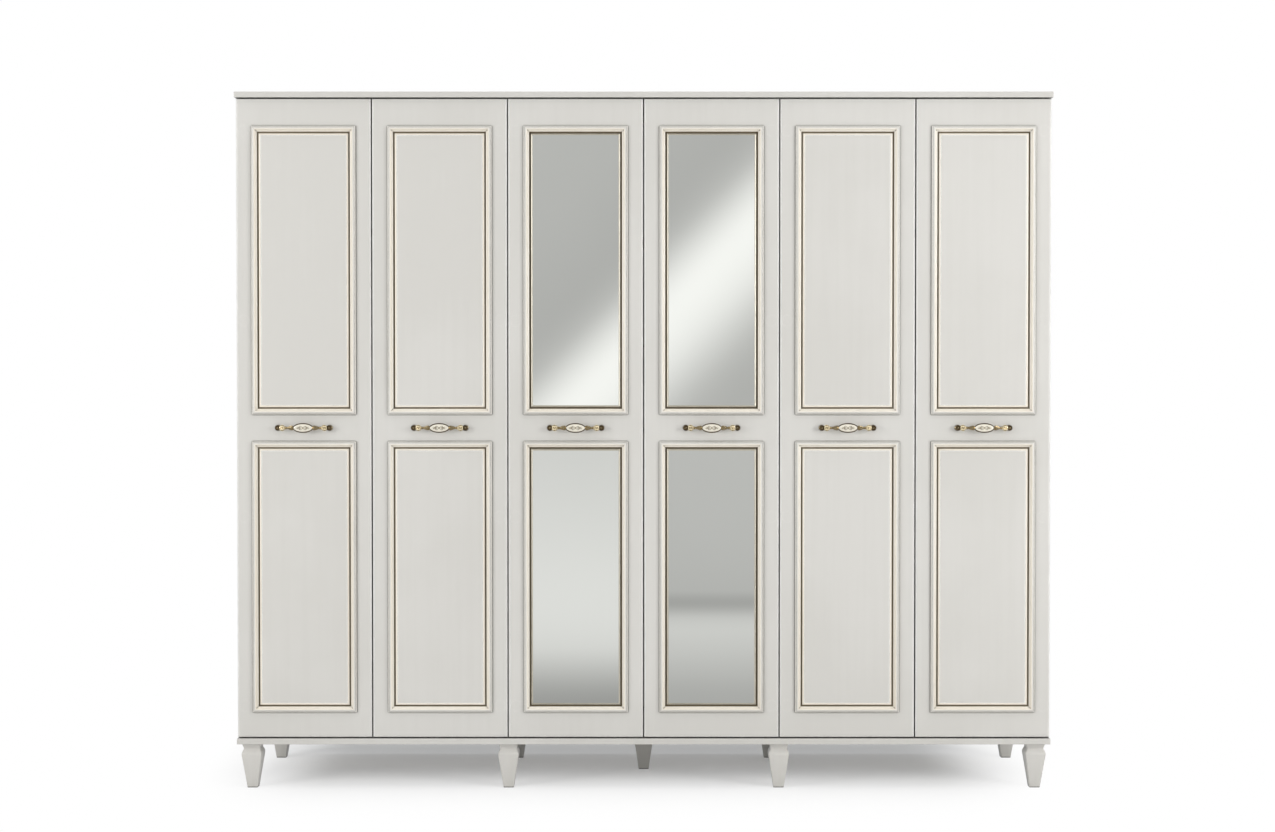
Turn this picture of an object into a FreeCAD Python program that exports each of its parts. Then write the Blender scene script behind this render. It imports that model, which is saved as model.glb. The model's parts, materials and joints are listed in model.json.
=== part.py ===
import FreeCAD, Part
import os

from FreeCAD import Vector

# Six-door armoire, in millimetres. +Z is up, the doors face -Y, and the origin
# is on the floor at the middle of the plan.

# carcass
BOARD = 18.0
BODY_WIDTH = 2576.0
TOP_WIDTH = 2586.0
BASE_WIDTH = 2580.0
LEG_HEIGHT = 143.0
TOTAL_HEIGHT = 2208.0
REAR = 314.0
DOOR_FACE = -286.0
PANEL_FRONT = DOOR_FACE - 10.0
DIVIDER_X = 430.0
BACK_THICK = 4.0
BACK_INSET = 8.0
GROOVE_DEPTH = 6.0
BOARD_EASING = 1.0
ASSEMBLY_ROWS_Y = (-180.0, 220.0)
ASSEMBLY_RADIUS = 2.5
ASSEMBLY_LENGTH = 50.0
ASSEMBLY_HEAD_RADIUS = 5.0
ASSEMBLY_HEAD_DEPTH = 3.0
ASSEMBLY_SOCKET_RADIUS = 1.8
ASSEMBLY_SOCKET_DEPTH = 2.5

# doors
DOOR_COUNT = 6
DOOR_PITCH = 430.0
DOOR_GAP = 4.0
CARCASS_GAP = 3.0
DOOR_EASING = 0.8
FRAME_SIDE_MARGIN = 48.0
UPPER_FRAME = (1189.0, 2101.0)
LOWER_FRAME = (244.0, 1104.0)
MITRE_REACH = 30.0
HANDLE_Z = 1147.0
MOULDING_WIDTH = 16.5
MOULDING_PROUD = 9.0
FILLET_WIDTH = 11.0
ROUT_DEPTH = 6.0
MIRROR_DOORS = (3, 4)
MIRROR_THICK = 4.0
RIGHT_HINGED = (2, 4, 6)

# handles
HANDLE_SPACING = 160.0
HANDLE_PROJECTION = 28.0
POST_RADIUS = 6.5
ROSE_RADIUS = 9.0
MEDALLION_LENGTH = 63.0
MEDALLION_HEIGHT = 31.0
BOW_OVERHANG = 7.0
BOW_END_FRONT = 17.0
BOW_END_BACK = 11.0
BOW_MIDDLE_FRONT = 2.5
BOW_MIDDLE_BACK = 9.0
BOW_SWELLS = ((0.0, 4.5), (20.0, 4.5), (50.0, 7.5), (80.0, 4.0))
MEDALLION_THICK = 7.0
POST_LENGTH = 14.0
ROSE_THICK = 2.5
HANDLE_SCREW_RADIUS = 2.0
HANDLE_SCREW_GRIP = 9.0
HANDLE_SCREW_HEAD = (4.0, 2.2)

# concealed hinges, measured from the door's hinge edge and outer face
HINGE_HEIGHTS = (265.0, 865.0, 1486.0, 2086.0)
CUP_X = 22.5
CUP_RADIUS = 17.5
CUP_WALL = 1.0
CUP_FLOOR = 0.8
CUP_DEPTH = 12.8
CUP_PLATE_THICK = 1.2
CUP_PLATE_SHIFT = 1.0
CUP_PLATE_REACH = (3.5, 44.0)
CUP_PLATE_HALF_HEIGHT = 15.0
CUP_PLATE_RADIUS = 20.0
CUP_WINGS_REACH = (24.5, 39.5)
CUP_WINGS_HALF_HEIGHT = 28.0
CUP_SCREW_X = 32.0
CUP_SCREW_OFFSETS = (-22.5, 22.5)
CUP_SCREW_RADIUS = 1.5
CUP_SCREW_DEPTH = 10.0
CUP_SCREW_HEAD = (3.0, 1.4)
ARM_PIN = (35.0, 13.0)
DOOR_PIN = (13.0, 9.0)
LINK_SAG = 3.0
LINK_HALF_THICK = 1.2
LINK_HALF_HEIGHT = 4.0
PIN_RADIUS = 1.0
RUNNING_FIT = 0.05
EYE_RADIUS = 2.0
ARM_HALF_WIDTH = 2.0
ARM_HALF_HEIGHT = 6.0
ARM_NOSE_BACK = 2.0
ARM_CRANK = (25.0, 26.0, 40.0)
ARM_END = 80.0
ARM_WIDTH = 12.0
ARM_WALL = 1.6
FORK_HALF_WIDTH = 5.0
FORK_OVERLAP = 3.0
FORK_HALF_HEIGHT = 4.3
CHANNEL_START = 44.0
CHANNEL_HALF_HEIGHT = 4.4
PLATE_DEPTH = 58.0
PLATE_WING_THICK = 2.0
PLATE_WING_HALF = (8.0, 24.0)
PLATE_PAD_THICK = 4.0
PLATE_PAD_REACH = (-14.0, 22.0)
PLATE_PAD_HALF_HEIGHT = 7.0
PLATE_SCREW_OFFSETS = (-16.0, 16.0)
PLATE_SCREW_RADIUS = 2.0
PLATE_SCREW_DEPTH = 8.0
PLATE_SCREW_HEAD = (3.8, 1.4)

# interior
SHELF_FRONT = -240.0
SHELF_REAR = 300.0
HAT_SHELF_Z = 1850.0
MIDDLE_SHELVES_Z = (490.0, 790.0, 1110.0, 1410.0, 1750.0)
SHELF_PLAY = 1.0
SHELF_PIN_RADIUS = 2.5
SHELF_PIN_DEPTH = 8.5
SHELF_PIN_LENGTH = 17.5
SHELF_PIN_INSET = 50.0
RAIL_Z = 1785.0
RAIL_Y = 25.0
RAIL_HEIGHT = 30.0
RAIL_WIDTH = 15.0
RAIL_WALL = 1.2
SOCKET_BASE = 3.0
SOCKET_PLATE = (26.0, 68.0)
COLLAR_LENGTH = 12.0
COLLAR_WALL = 2.5
RAIL_SCREW_OFFSET = 26.0
RAIL_SCREW_RADIUS = 1.8
RAIL_SCREW_DEPTH = 8.0
RAIL_SCREW_HEAD = (3.5, 1.2)

# legs
LEG_REACH = 60.0
LEG_X = (-1246.0, -430.0, 430.0, 1246.0)
LEG_Y = 250.0
CENTRE_LEG_Y = 50.0
HEAD_HALF = 31.0
NECK_HALF = 25.8
NECK_DROP = 16.0
FLARE_HALF = 30.4
FLARE_DROP = 27.0
BROW_HALF = 31.8
BROW_DROP = 31.5
SHOULDER_HALF = 32.0
SHOULDER_DROP = 36.0
FOOT_HALF = 16.5
STUD_RADIUS = 4.0
STUD_IN_LEG = 25.0
STUD_IN_BOARD = 12.0

# worked out from the dimensions above
BASE_Z = LEG_HEIGHT
FLOOR_Z = BASE_Z + BOARD
CEILING_Z = TOTAL_HEIGHT - BOARD
DOOR_WIDTH = DOOR_PITCH - DOOR_GAP
DOOR_Z0 = FLOOR_Z + DOOR_GAP
DOOR_Z1 = CEILING_Z - DOOR_GAP
CARCASS_FRONT = DOOR_FACE + BOARD + CARCASS_GAP
SIDE_INNER = BODY_WIDTH / 2 - BOARD
DIVIDER_FACES = (DIVIDER_X - BOARD / 2, DIVIDER_X + BOARD / 2)
BACK_FRONT = REAR - BACK_INSET - BACK_THICK
FRAME_WIDTH = DOOR_WIDTH - 2 * FRAME_SIDE_MARGIN
BAYS = (
    (-SIDE_INNER, -DIVIDER_FACES[1]),
    (-DIVIDER_FACES[0], DIVIDER_FACES[0]),
    (DIVIDER_FACES[1], SIDE_INNER),
)


def box(x0, x1, y0, y1, z0, z1):
    """A box between two corners."""
    return Part.makeBox(x1 - x0, y1 - y0, z1 - z0, Vector(x0, y0, z0))


def rod(radius, length, start, axis):
    """A round rod from a start point along an axis."""
    return Part.makeCylinder(radius, length, Vector(*start), Vector(*axis))


def moved(shape, x, y, z):
    """A copy of a shape, shifted."""
    copy = shape.copy()
    copy.translate(Vector(x, y, z))
    return copy


def mirrored(shape):
    """The left-right twin of a shape, about the plane x = 0."""
    return shape.mirror(Vector(0, 0, 0), Vector(1, 0, 0))


def prism(points, direction):
    """A closed polygon of corner points, extruded."""
    corners = [Vector(*point) for point in points]
    face = Part.Face(Part.makePolygon(corners + corners[:1]))
    return face.extrude(Vector(*direction))


def edges_along(shape, axis, test):
    """The straight edges parallel to an axis whose middle passes a test."""
    picked = []
    for edge in shape.Edges:
        if edge.Curve.TypeId != "Part::GeomLine":
            continue
        run = edge.tangentAt(edge.FirstParameter)
        middle = edge.CenterOfMass
        if abs(run.dot(axis)) > 0.99 and test(middle):
            picked.append(edge)
    return picked


# carcass boards ------------------------------------------------------------

def back_groove(x0, x1, z0, z1):
    """The cutter of the groove that holds a back panel."""
    return box(x0, x1, BACK_FRONT, BACK_FRONT + BACK_THICK, z0, z1)


def upright_screw_places():
    """Where screws run from the top and base panels into the uprights."""
    centres = (-SIDE_INNER - BOARD / 2, -DIVIDER_X, DIVIDER_X, SIDE_INNER + BOARD / 2)
    return [(x, y) for x in centres for y in ASSEMBLY_ROWS_Y]


def assembly_screw_blank(x, y, z, way):
    """A flat-headed screw that enters a board's outer face at z, up or down."""
    shank = rod(ASSEMBLY_RADIUS, ASSEMBLY_LENGTH, (x, y, z), (0, 0, way))
    head = rod(ASSEMBLY_HEAD_RADIUS, ASSEMBLY_HEAD_DEPTH, (x, y, z), (0, 0, way))
    return shank.fuse(head)


def assembly_screw_starts():
    """Where each assembly screw starts, and which way it points."""
    starts = []
    for x, y in upright_screw_places():
        starts.append((x, y, TOTAL_HEIGHT, -1))
        starts.append((x, y, BASE_Z, 1))
    return starts


def assembly_screws():
    """Flat-headed screws through the top and base panels."""
    screws = []
    for x, y, z, way in assembly_screw_starts():
        socket = rod(ASSEMBLY_SOCKET_RADIUS, ASSEMBLY_SOCKET_DEPTH, (x, y, z), (0, 0, way))
        screws.append(assembly_screw_blank(x, y, z, way).cut(socket))
    return screws


def screw_holes():
    """Cutters for the assembly screws."""
    return [assembly_screw_blank(*start) for start in assembly_screw_starts()]


def rounded_board(x0, x1, z0, z1):
    """A top or base board with its visible corners and arrises eased."""
    board = box(x0, x1, PANEL_FRONT, REAR, z0, z1)
    front = edges_along(board, Vector(1, 0, 0), lambda m: m.y < PANEL_FRONT + 1)
    sides = edges_along(board, Vector(0, 1, 0), lambda m: True)
    corners = edges_along(board, Vector(0, 0, 1), lambda m: m.y < PANEL_FRONT + 1)
    return board.makeFillet(BOARD_EASING, front + sides + corners)


def board_grooves(z0):
    """Cutters of the grooves for all the backs, one groove deep from a height up."""
    reach = GROOVE_DEPTH
    return [back_groove(x0 - reach, x1 + reach, z0, z0 + reach) for x0, x1 in BAYS]


def top_panel():
    """The overhanging top board, grooved below for the backs."""
    board = rounded_board(-TOP_WIDTH / 2, TOP_WIDTH / 2, CEILING_Z, TOTAL_HEIGHT)
    return board.cut(board_grooves(CEILING_Z) + screw_holes())


def base_panel():
    """The base board, grooved above for the backs and bored below for the legs."""
    board = rounded_board(-BASE_WIDTH / 2, BASE_WIDTH / 2, BASE_Z, FLOOR_Z)
    bores = [leg_bolt(x, y) for x, y in leg_places()]
    return board.cut(board_grooves(FLOOR_Z - GROOVE_DEPTH) + screw_holes() + bores)


def fitting_holes(face, inward, pins, rail):
    """Holes in one face of an upright: hinge plates, shelf pins, rail sockets."""
    holes = []
    into = (-inward, 0, 0)
    for z in HINGE_HEIGHTS:
        for offset in PLATE_SCREW_OFFSETS:
            start = (face, DOOR_FACE + PLATE_DEPTH, z + offset)
            holes.append(rod(PLATE_SCREW_RADIUS, PLATE_SCREW_DEPTH, start, into))
    for z in pins:
        for y in pin_places_y():
            holes.append(rod(SHELF_PIN_RADIUS, SHELF_PIN_DEPTH, (face, y, z), into))
    if rail:
        for z in rail_screw_heights():
            holes.append(rod(RAIL_SCREW_RADIUS, RAIL_SCREW_DEPTH, (face, RAIL_Y, z), into))
    return holes


def pin_places_y():
    """Front and rear rows of shelf pins."""
    return (SHELF_FRONT + SHELF_PIN_INSET, SHELF_REAR - SHELF_PIN_INSET)


def hat_pin_heights():
    """Centre heights of the pins under the hat shelves."""
    return (HAT_SHELF_Z - SHELF_PIN_RADIUS,)


def middle_pin_heights():
    """Centre heights of the pins under the middle bay's shelves."""
    return tuple(z - SHELF_PIN_RADIUS for z in MIDDLE_SHELVES_Z)


def side_panel(side):
    """An outer upright; side is -1 for the left one and 1 for the right one."""
    inner = side * SIDE_INNER
    outer = side * BODY_WIDTH / 2
    board = box(min(inner, outer), max(inner, outer), CARCASS_FRONT, REAR, FLOOR_Z, CEILING_Z)
    reach = side * GROOVE_DEPTH
    groove = back_groove(min(inner, inner + reach), max(inner, inner + reach), FLOOR_Z, CEILING_Z)
    fittings = fitting_holes(inner, -side, hat_pin_heights(), True)
    return board.cut([groove] + fittings + screw_holes())


def divider(side):
    """An inner upright with hinges, shelf pins and grooves on both faces."""
    centre = side * DIVIDER_X
    x0 = centre - BOARD / 2
    x1 = centre + BOARD / 2
    board = box(x0, x1, CARCASS_FRONT, REAR, FLOOR_Z, CEILING_Z)
    left = back_groove(x0, x0 + GROOVE_DEPTH, FLOOR_Z, CEILING_Z)
    right = back_groove(x1 - GROOVE_DEPTH, x1, FLOOR_Z, CEILING_Z)
    outer_face = x1 if side > 0 else x0
    middle_face = x0 if side > 0 else x1
    outer = fitting_holes(outer_face, side, hat_pin_heights(), True)
    middle = fitting_holes(middle_face, -side, middle_pin_heights(), False)
    return board.cut([left, right] + outer + middle + screw_holes())


def back_panel(bay):
    """A thin back that sits in grooves on all four sides."""
    x0, x1 = bay
    return box(
        x0 - GROOVE_DEPTH, x1 + GROOVE_DEPTH,
        BACK_FRONT, BACK_FRONT + BACK_THICK,
        FLOOR_Z - GROOVE_DEPTH, CEILING_Z + GROOVE_DEPTH,
    )


# interior fittings -----------------------------------------------------------

def shelf(bay, z):
    """A loose shelf between two uprights, with its front arrises eased."""
    board = box(bay[0] + SHELF_PLAY, bay[1] - SHELF_PLAY, SHELF_FRONT, SHELF_REAR, z, z + BOARD)
    front = edges_along(board, Vector(1, 0, 0), lambda m: m.y < SHELF_FRONT + 1)
    return board.makeFillet(BOARD_EASING, front)


def shelf_pins_in(bay, heights):
    """Pins in both walls of a bay."""
    pins = []
    for face, inward in ((bay[0], 1), (bay[1], -1)):
        for z in heights:
            for y in pin_places_y():
                start = (face - inward * SHELF_PIN_DEPTH, y, z)
                pins.append(rod(SHELF_PIN_RADIUS, SHELF_PIN_LENGTH, start, (inward, 0, 0)))
    return pins


def shelf_pins():
    """All the shelf pins."""
    outer = shelf_pins_in(BAYS[0], hat_pin_heights()) + shelf_pins_in(BAYS[2], hat_pin_heights())
    return outer + shelf_pins_in(BAYS[1], middle_pin_heights())


def oval_bar(width, height, length, x):
    """A bar of flat-sided oval section along +X, centred on the rail's line."""
    half_flat = (height - width) / 2
    radius = width / 2
    flat = box(x, x + length, RAIL_Y - radius, RAIL_Y + radius, RAIL_Z - half_flat, RAIL_Z + half_flat)
    upper = rod(radius, length, (x, RAIL_Y, RAIL_Z + half_flat), (1, 0, 0))
    lower = rod(radius, length, (x, RAIL_Y, RAIL_Z - half_flat), (1, 0, 0))
    return flat.fuse([upper, lower]).removeSplitter()


def hanging_rail(bay):
    """An oval tube that ends against the bases of its two sockets."""
    x0 = bay[0] + SOCKET_BASE
    length = bay[1] - bay[0] - 2 * SOCKET_BASE
    tube = oval_bar(RAIL_WIDTH, RAIL_HEIGHT, length, x0)
    bore = oval_bar(RAIL_WIDTH - 2 * RAIL_WALL, RAIL_HEIGHT - 2 * RAIL_WALL, length, x0)
    return tube.cut(bore)


def rail_screw_heights():
    """Heights of the two screws of a rail socket."""
    return (RAIL_Z - RAIL_SCREW_OFFSET, RAIL_Z + RAIL_SCREW_OFFSET)


def rail_socket(face, inward):
    """A socket: an oval base plate with a collar round the tube, and two screws."""
    base_x = face if inward > 0 else face - SOCKET_BASE
    base = oval_bar(*SOCKET_PLATE, SOCKET_BASE, base_x)
    collar_x = face + SOCKET_BASE if inward > 0 else face - SOCKET_BASE - COLLAR_LENGTH
    collar = oval_bar(RAIL_WIDTH + 2 * COLLAR_WALL, RAIL_HEIGHT + 2 * COLLAR_WALL, COLLAR_LENGTH, collar_x)
    collar = collar.cut(oval_bar(RAIL_WIDTH, RAIL_HEIGHT, COLLAR_LENGTH, collar_x))
    head_radius, head_thick = RAIL_SCREW_HEAD
    screws = []
    for z in rail_screw_heights():
        tip = (face - inward * RAIL_SCREW_DEPTH, RAIL_Y, z)
        shank = rod(RAIL_SCREW_RADIUS, RAIL_SCREW_DEPTH + SOCKET_BASE, tip, (inward, 0, 0))
        under_head = (face + inward * (SOCKET_BASE - head_thick), RAIL_Y, z)
        head = rod(head_radius, head_thick, under_head, (inward, 0, 0))
        screws.append(shank.fuse(head).removeSplitter())
    return [base.fuse(collar).cut(screws)] + screws


def rail_sockets():
    """Both sockets of both hanging rails."""
    parts = []
    for bay in (BAYS[0], BAYS[2]):
        parts += rail_socket(bay[0], 1)
        parts += rail_socket(bay[1], -1)
    return parts


# legs ------------------------------------------------------------------------

def leg_places():
    """Plan positions of all nine legs."""
    places = [(x, y) for y in (-LEG_Y, LEG_Y) for x in LEG_X]
    return places + [(0.0, CENTRE_LEG_Y)]


def leg_side(thickness_axis):
    """The leg's outline, seen from one side, extruded across the leg."""
    along = Vector(0, 1, 0) if thickness_axis == "y" else Vector(1, 0, 0)

    def place(across, height):
        if thickness_axis == "y":
            return Vector(across, -LEG_REACH, height)
        return Vector(-LEG_REACH, across, height)

    def half(sign):
        head = place(sign * HEAD_HALF, LEG_HEIGHT)
        neck = place(sign * NECK_HALF, LEG_HEIGHT - NECK_DROP)
        flare = place(sign * FLARE_HALF, LEG_HEIGHT - FLARE_DROP)
        brow = place(sign * BROW_HALF, LEG_HEIGHT - BROW_DROP)
        shoulder = place(sign * SHOULDER_HALF, LEG_HEIGHT - SHOULDER_DROP)
        foot = place(sign * FOOT_HALF, 0.0)
        return [
            Part.makeLine(head, neck),
            Part.makeLine(neck, flare),
            Part.Arc(flare, brow, shoulder).toShape(),
            Part.makeLine(shoulder, foot),
        ]

    right = half(1)
    left = half(-1)
    top_edge = Part.makeLine(place(-HEAD_HALF, LEG_HEIGHT), place(HEAD_HALF, LEG_HEIGHT))
    bottom_edge = Part.makeLine(place(-FOOT_HALF, 0.0), place(FOOT_HALF, 0.0))
    wire = Part.Wire(Part.__sortEdges__(right + left + [top_edge, bottom_edge]))
    return Part.Face(wire).extrude(along * 2 * LEG_REACH)


def leg_shape():
    """A square tapered leg with a necked top, standing on the origin."""
    body = leg_side("y").common(leg_side("x"))
    return body.cut(rod(STUD_RADIUS, STUD_IN_LEG, (0, 0, LEG_HEIGHT), (0, 0, -1)))


def leg_bolt(x, y):
    """The threaded stud between a leg and the base panel."""
    return rod(STUD_RADIUS, STUD_IN_LEG + STUD_IN_BOARD, (x, y, LEG_HEIGHT - STUD_IN_LEG), (0, 0, 1))


# doors -----------------------------------------------------------------------

def door_left(number):
    """The x of a door's left edge."""
    return -BODY_WIDTH / 2 + (number - 1) * DOOR_PITCH


def ring(x0, x1, z0, z1, inset, width, y0, y1):
    """A rectangular ring, set in from a rectangle."""
    outer = box(x0 + inset, x1 - inset, y0, y1, z0 + inset, z1 - inset)
    far = inset + width
    return outer.cut(box(x0 + far, x1 - far, y0, y1, z0 + far, z1 - far))


def mitred_sticks(section, x0, x1, z0, z1, reach):
    """Four lengths of a section round a rectangle, mitred at the corners.

    The section is a closed list of edges with u inwards from the rectangle and
    v outwards from the door's face.
    """
    def stick(corner, along, inward, length):
        def place(u, v):
            return Vector(*corner) + Vector(*inward) * u + Vector(0, -v, 0)

        face = Part.Face(Part.Wire(section(place)))
        bar = face.extrude(Vector(*along) * length)
        points = []
        for run, depth in ((0, 0), (length, 0), (length - reach, reach), (reach, reach)):
            spot = Vector(*corner) + Vector(*along) * run + Vector(*inward) * depth
            points.append((spot.x, DOOR_FACE - MITRE_REACH, spot.z))
        return bar.common(prism(points, (0, 2 * MITRE_REACH, 0)))

    wide = x1 - x0
    tall = z1 - z0
    return [
        stick((x0, DOOR_FACE, z1), (1, 0, 0), (0, 0, -1), wide),
        stick((x0, DOOR_FACE, z0), (1, 0, 0), (0, 0, 1), wide),
        stick((x0, DOOR_FACE, z0), (0, 0, 1), (1, 0, 0), tall),
        stick((x1, DOOR_FACE, z0), (0, 0, 1), (-1, 0, 0), tall),
    ]


def moulding_section(place):
    """Outer bead, quirk, ovolo and inner cove of the planted moulding."""
    bead = place(0.0, 2.0)
    bead_mid = place(0.7, 3.3)
    bead_top = place(2.2, 3.8)
    quirk = place(3.2, 3.8)
    rise = place(3.2, 4.8)
    ovolo_mid = place(5.2, 7.9)
    crown = place(9.0, MOULDING_PROUD)
    crown_end = place(12.6, MOULDING_PROUD)
    cove_mid = place(14.1, 4.6)
    cove_end = place(MOULDING_WIDTH, 2.0)
    inner_foot = place(MOULDING_WIDTH, 0.0)
    outer_foot = place(0.0, 0.0)
    return [
        Part.makeLine(outer_foot, bead),
        Part.Arc(bead, bead_mid, bead_top).toShape(),
        Part.makeLine(bead_top, quirk),
        Part.makeLine(quirk, rise),
        Part.Arc(rise, ovolo_mid, crown).toShape(),
        Part.makeLine(crown, crown_end),
        Part.Arc(crown_end, cove_mid, cove_end).toShape(),
        Part.makeLine(cove_end, inner_foot),
        Part.makeLine(inner_foot, outer_foot),
    ]


def fillet_section(place):
    """A gilt fillet: a sunk flat beside the moulding, then a bevel up to the panel."""
    far = MOULDING_WIDTH + FILLET_WIDTH
    middle = MOULDING_WIDTH + FILLET_WIDTH / 2
    corners = [
        place(MOULDING_WIDTH, -ROUT_DEPTH),
        place(far, -ROUT_DEPTH),
        place(far, -0.3),
        place(middle, -4.0),
        place(MOULDING_WIDTH, -4.0),
    ]
    return Part.makePolygon(corners + corners[:1]).Edges


def frames(left):
    """The outer rectangles of a door's two moulding frames."""
    x0 = left + FRAME_SIDE_MARGIN
    return [(x0, x0 + FRAME_WIDTH, z0, z1) for z0, z1 in (LOWER_FRAME, UPPER_FRAME)]


def hinge_side(number):
    """Which side a door is hung on, and the x of its hinge edge."""
    left = door_left(number)
    if number in RIGHT_HINGED:
        return "right", left + DOOR_WIDTH
    return "left", left


def hung(shape, number, z):
    """A hinge part, modelled at a left-hand door edge on the origin, in its place."""
    side, edge = hinge_side(number)
    part = mirrored(shape) if side == "right" else shape
    return moved(part, edge, DOOR_FACE, z)


def handle_x(number):
    """The x of the middle of a door's handle."""
    return door_left(number) + DOOR_WIDTH / 2


def door_slab(number):
    """A flat door with routed frames, cup bores and handle holes."""
    left = door_left(number)
    slab = box(left, left + DOOR_WIDTH, DOOR_FACE, DOOR_FACE + BOARD, DOOR_Z0, DOOR_Z1)
    outer = edges_along(slab, Vector(1, 0, 0), lambda m: m.y < DOOR_FACE + 1)
    outer += edges_along(slab, Vector(0, 0, 1), lambda m: m.y < DOOR_FACE + 1)
    slab = slab.makeFillet(DOOR_EASING, outer)
    cuts = []
    for x0, x1, z0, z1 in frames(left):
        cuts.append(ring(x0, x1, z0, z1, MOULDING_WIDTH, FILLET_WIDTH, DOOR_FACE, DOOR_FACE + ROUT_DEPTH))
        if number in MIRROR_DOORS:
            inset = MOULDING_WIDTH + FILLET_WIDTH
            recess = box(x0 + inset, x1 - inset, DOOR_FACE, DOOR_FACE + MIRROR_THICK, z0 + inset, z1 - inset)
            cuts.append(recess)
    for z in HINGE_HEIGHTS:
        bore = rod(CUP_RADIUS, CUP_DEPTH, (CUP_X, BOARD - CUP_DEPTH, 0), (0, 1, 0))
        cuts.append(hung(bore, number, z))
        for offset in CUP_SCREW_OFFSETS:
            start = (CUP_SCREW_X, BOARD, offset)
            hole = rod(CUP_SCREW_RADIUS, CUP_SCREW_DEPTH, start, (0, -1, 0))
            cuts.append(hung(hole, number, z))
    for offset in (-HANDLE_SPACING / 2, HANDLE_SPACING / 2):
        start = (handle_x(number) + offset, DOOR_FACE, HANDLE_Z)
        cuts.append(rod(HANDLE_SCREW_RADIUS, BOARD, start, (0, 1, 0)))
    return slab.cut(cuts)


def door_mirrors(number):
    """The two mirrors of a door, flush with the slab's face."""
    inset = MOULDING_WIDTH + FILLET_WIDTH
    glass = []
    for x0, x1, z0, z1 in frames(door_left(number)):
        pane = box(x0 + inset, x1 - inset, DOOR_FACE, DOOR_FACE + MIRROR_THICK, z0 + inset, z1 - inset)
        glass.append(pane)
    return glass


def door_sticks(number, section, reach):
    """The mitred pieces of both frames of a door."""
    pieces = []
    for x0, x1, z0, z1 in frames(door_left(number)):
        pieces += mitred_sticks(section, x0, x1, z0, z1, reach)
    return pieces


def handle_bow():
    """The bar of the handle, bowed away from the door and flat above and below."""
    reach = HANDLE_SPACING / 2 + BOW_OVERHANG
    tip = -HANDLE_PROJECTION
    outer_end = Vector(-reach, -BOW_END_FRONT, 0)
    outer_mid = Vector(0, tip + BOW_MIDDLE_FRONT, 0)
    outer_far = Vector(reach, -BOW_END_FRONT, 0)
    inner_end = Vector(-reach, -BOW_END_BACK, 0)
    inner_mid = Vector(0, tip + BOW_MIDDLE_BACK, 0)
    inner_far = Vector(reach, -BOW_END_BACK, 0)
    edges = [
        Part.Arc(outer_end, outer_mid, outer_far).toShape(),
        Part.makeLine(outer_far, inner_far),
        Part.Arc(inner_far, inner_mid, inner_end).toShape(),
        Part.makeLine(inner_end, outer_end),
    ]
    bow = Part.Face(Part.Wire(edges)).extrude(Vector(0, 0, 2 * MEDALLION_HEIGHT))
    return moved(bow, 0, 0, -MEDALLION_HEIGHT)


def handle_front():
    """The handle's outline seen from the front: swelling arms and round ends."""
    far = -HANDLE_PROJECTION - BOW_OVERHANG
    deep = (0, -far, 0)
    ends = []
    for side in (-1, 1):
        ends.append(rod(ROSE_RADIUS, -far, (side * HANDLE_SPACING / 2, far, 0), (0, 1, 0)))
        upper = [(side * x, far, half) for x, half in BOW_SWELLS]
        lower = [(x, y, -z) for x, y, z in reversed(upper)]
        ends.append(prism(upper + lower, deep))
    return ends[0].fuse(ends[1:])


def handle_medallion():
    """A pointed oval plate at the middle of the bow."""
    left = Vector(-MEDALLION_LENGTH / 2, 0, 0)
    right = Vector(MEDALLION_LENGTH / 2, 0, 0)
    edges = [
        Part.Arc(left, Vector(0, 0, MEDALLION_HEIGHT / 2), right).toShape(),
        Part.Arc(right, Vector(0, 0, -MEDALLION_HEIGHT / 2), left).toShape(),
    ]
    plate = Part.Face(Part.Wire(edges)).extrude(Vector(0, MEDALLION_THICK, 0))
    return moved(plate, 0, -HANDLE_PROJECTION, 0)


def handle_casting():
    """A bow handle with a pointed oval medallion, on the origin of its own centre."""
    bow = handle_bow().common(handle_front())
    posts = []
    bores = []
    for x in (-HANDLE_SPACING / 2, HANDLE_SPACING / 2):
        posts.append(rod(POST_RADIUS, POST_LENGTH, (x, -POST_LENGTH, 0), (0, 1, 0)))
        posts.append(rod(ROSE_RADIUS, ROSE_THICK, (x, -ROSE_THICK, 0), (0, 1, 0)))
        bores.append(rod(HANDLE_SCREW_RADIUS, HANDLE_SCREW_GRIP, (x, -HANDLE_SCREW_GRIP, 0), (0, 1, 0)))
    casting = bow.fuse([handle_medallion()] + posts).removeSplitter()
    return casting.cut(bores)


def handle_screw(side):
    """A pan-headed screw from inside the door into a handle post."""
    x = side * HANDLE_SPACING / 2
    length = HANDLE_SCREW_GRIP + BOARD
    shank = rod(HANDLE_SCREW_RADIUS, length, (x, -HANDLE_SCREW_GRIP, 0), (0, 1, 0))
    return shank.fuse(rod(*HANDLE_SCREW_HEAD, (x, BOARD, 0), (0, 1, 0)))


def door_handle(number):
    """The handle of a door with its two screws."""
    parts = [handle_casting(), handle_screw(-1), handle_screw(1)]
    return [moved(part, handle_x(number), DOOR_FACE, HANDLE_Z) for part in parts]


# concealed hinges ------------------------------------------------------------

def cup_screws():
    """The two screws of a hinge cup, about the middle of its height."""
    screws = []
    for offset in CUP_SCREW_OFFSETS:
        tip = (CUP_SCREW_X, BOARD - CUP_SCREW_DEPTH, offset)
        shank = rod(CUP_SCREW_RADIUS, CUP_SCREW_DEPTH + CUP_PLATE_THICK, tip, (0, 1, 0))
        head = rod(*CUP_SCREW_HEAD, (CUP_SCREW_X, BOARD + CUP_PLATE_THICK, offset), (0, 1, 0))
        screws.append(shank.fuse(head))
    return screws


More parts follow.
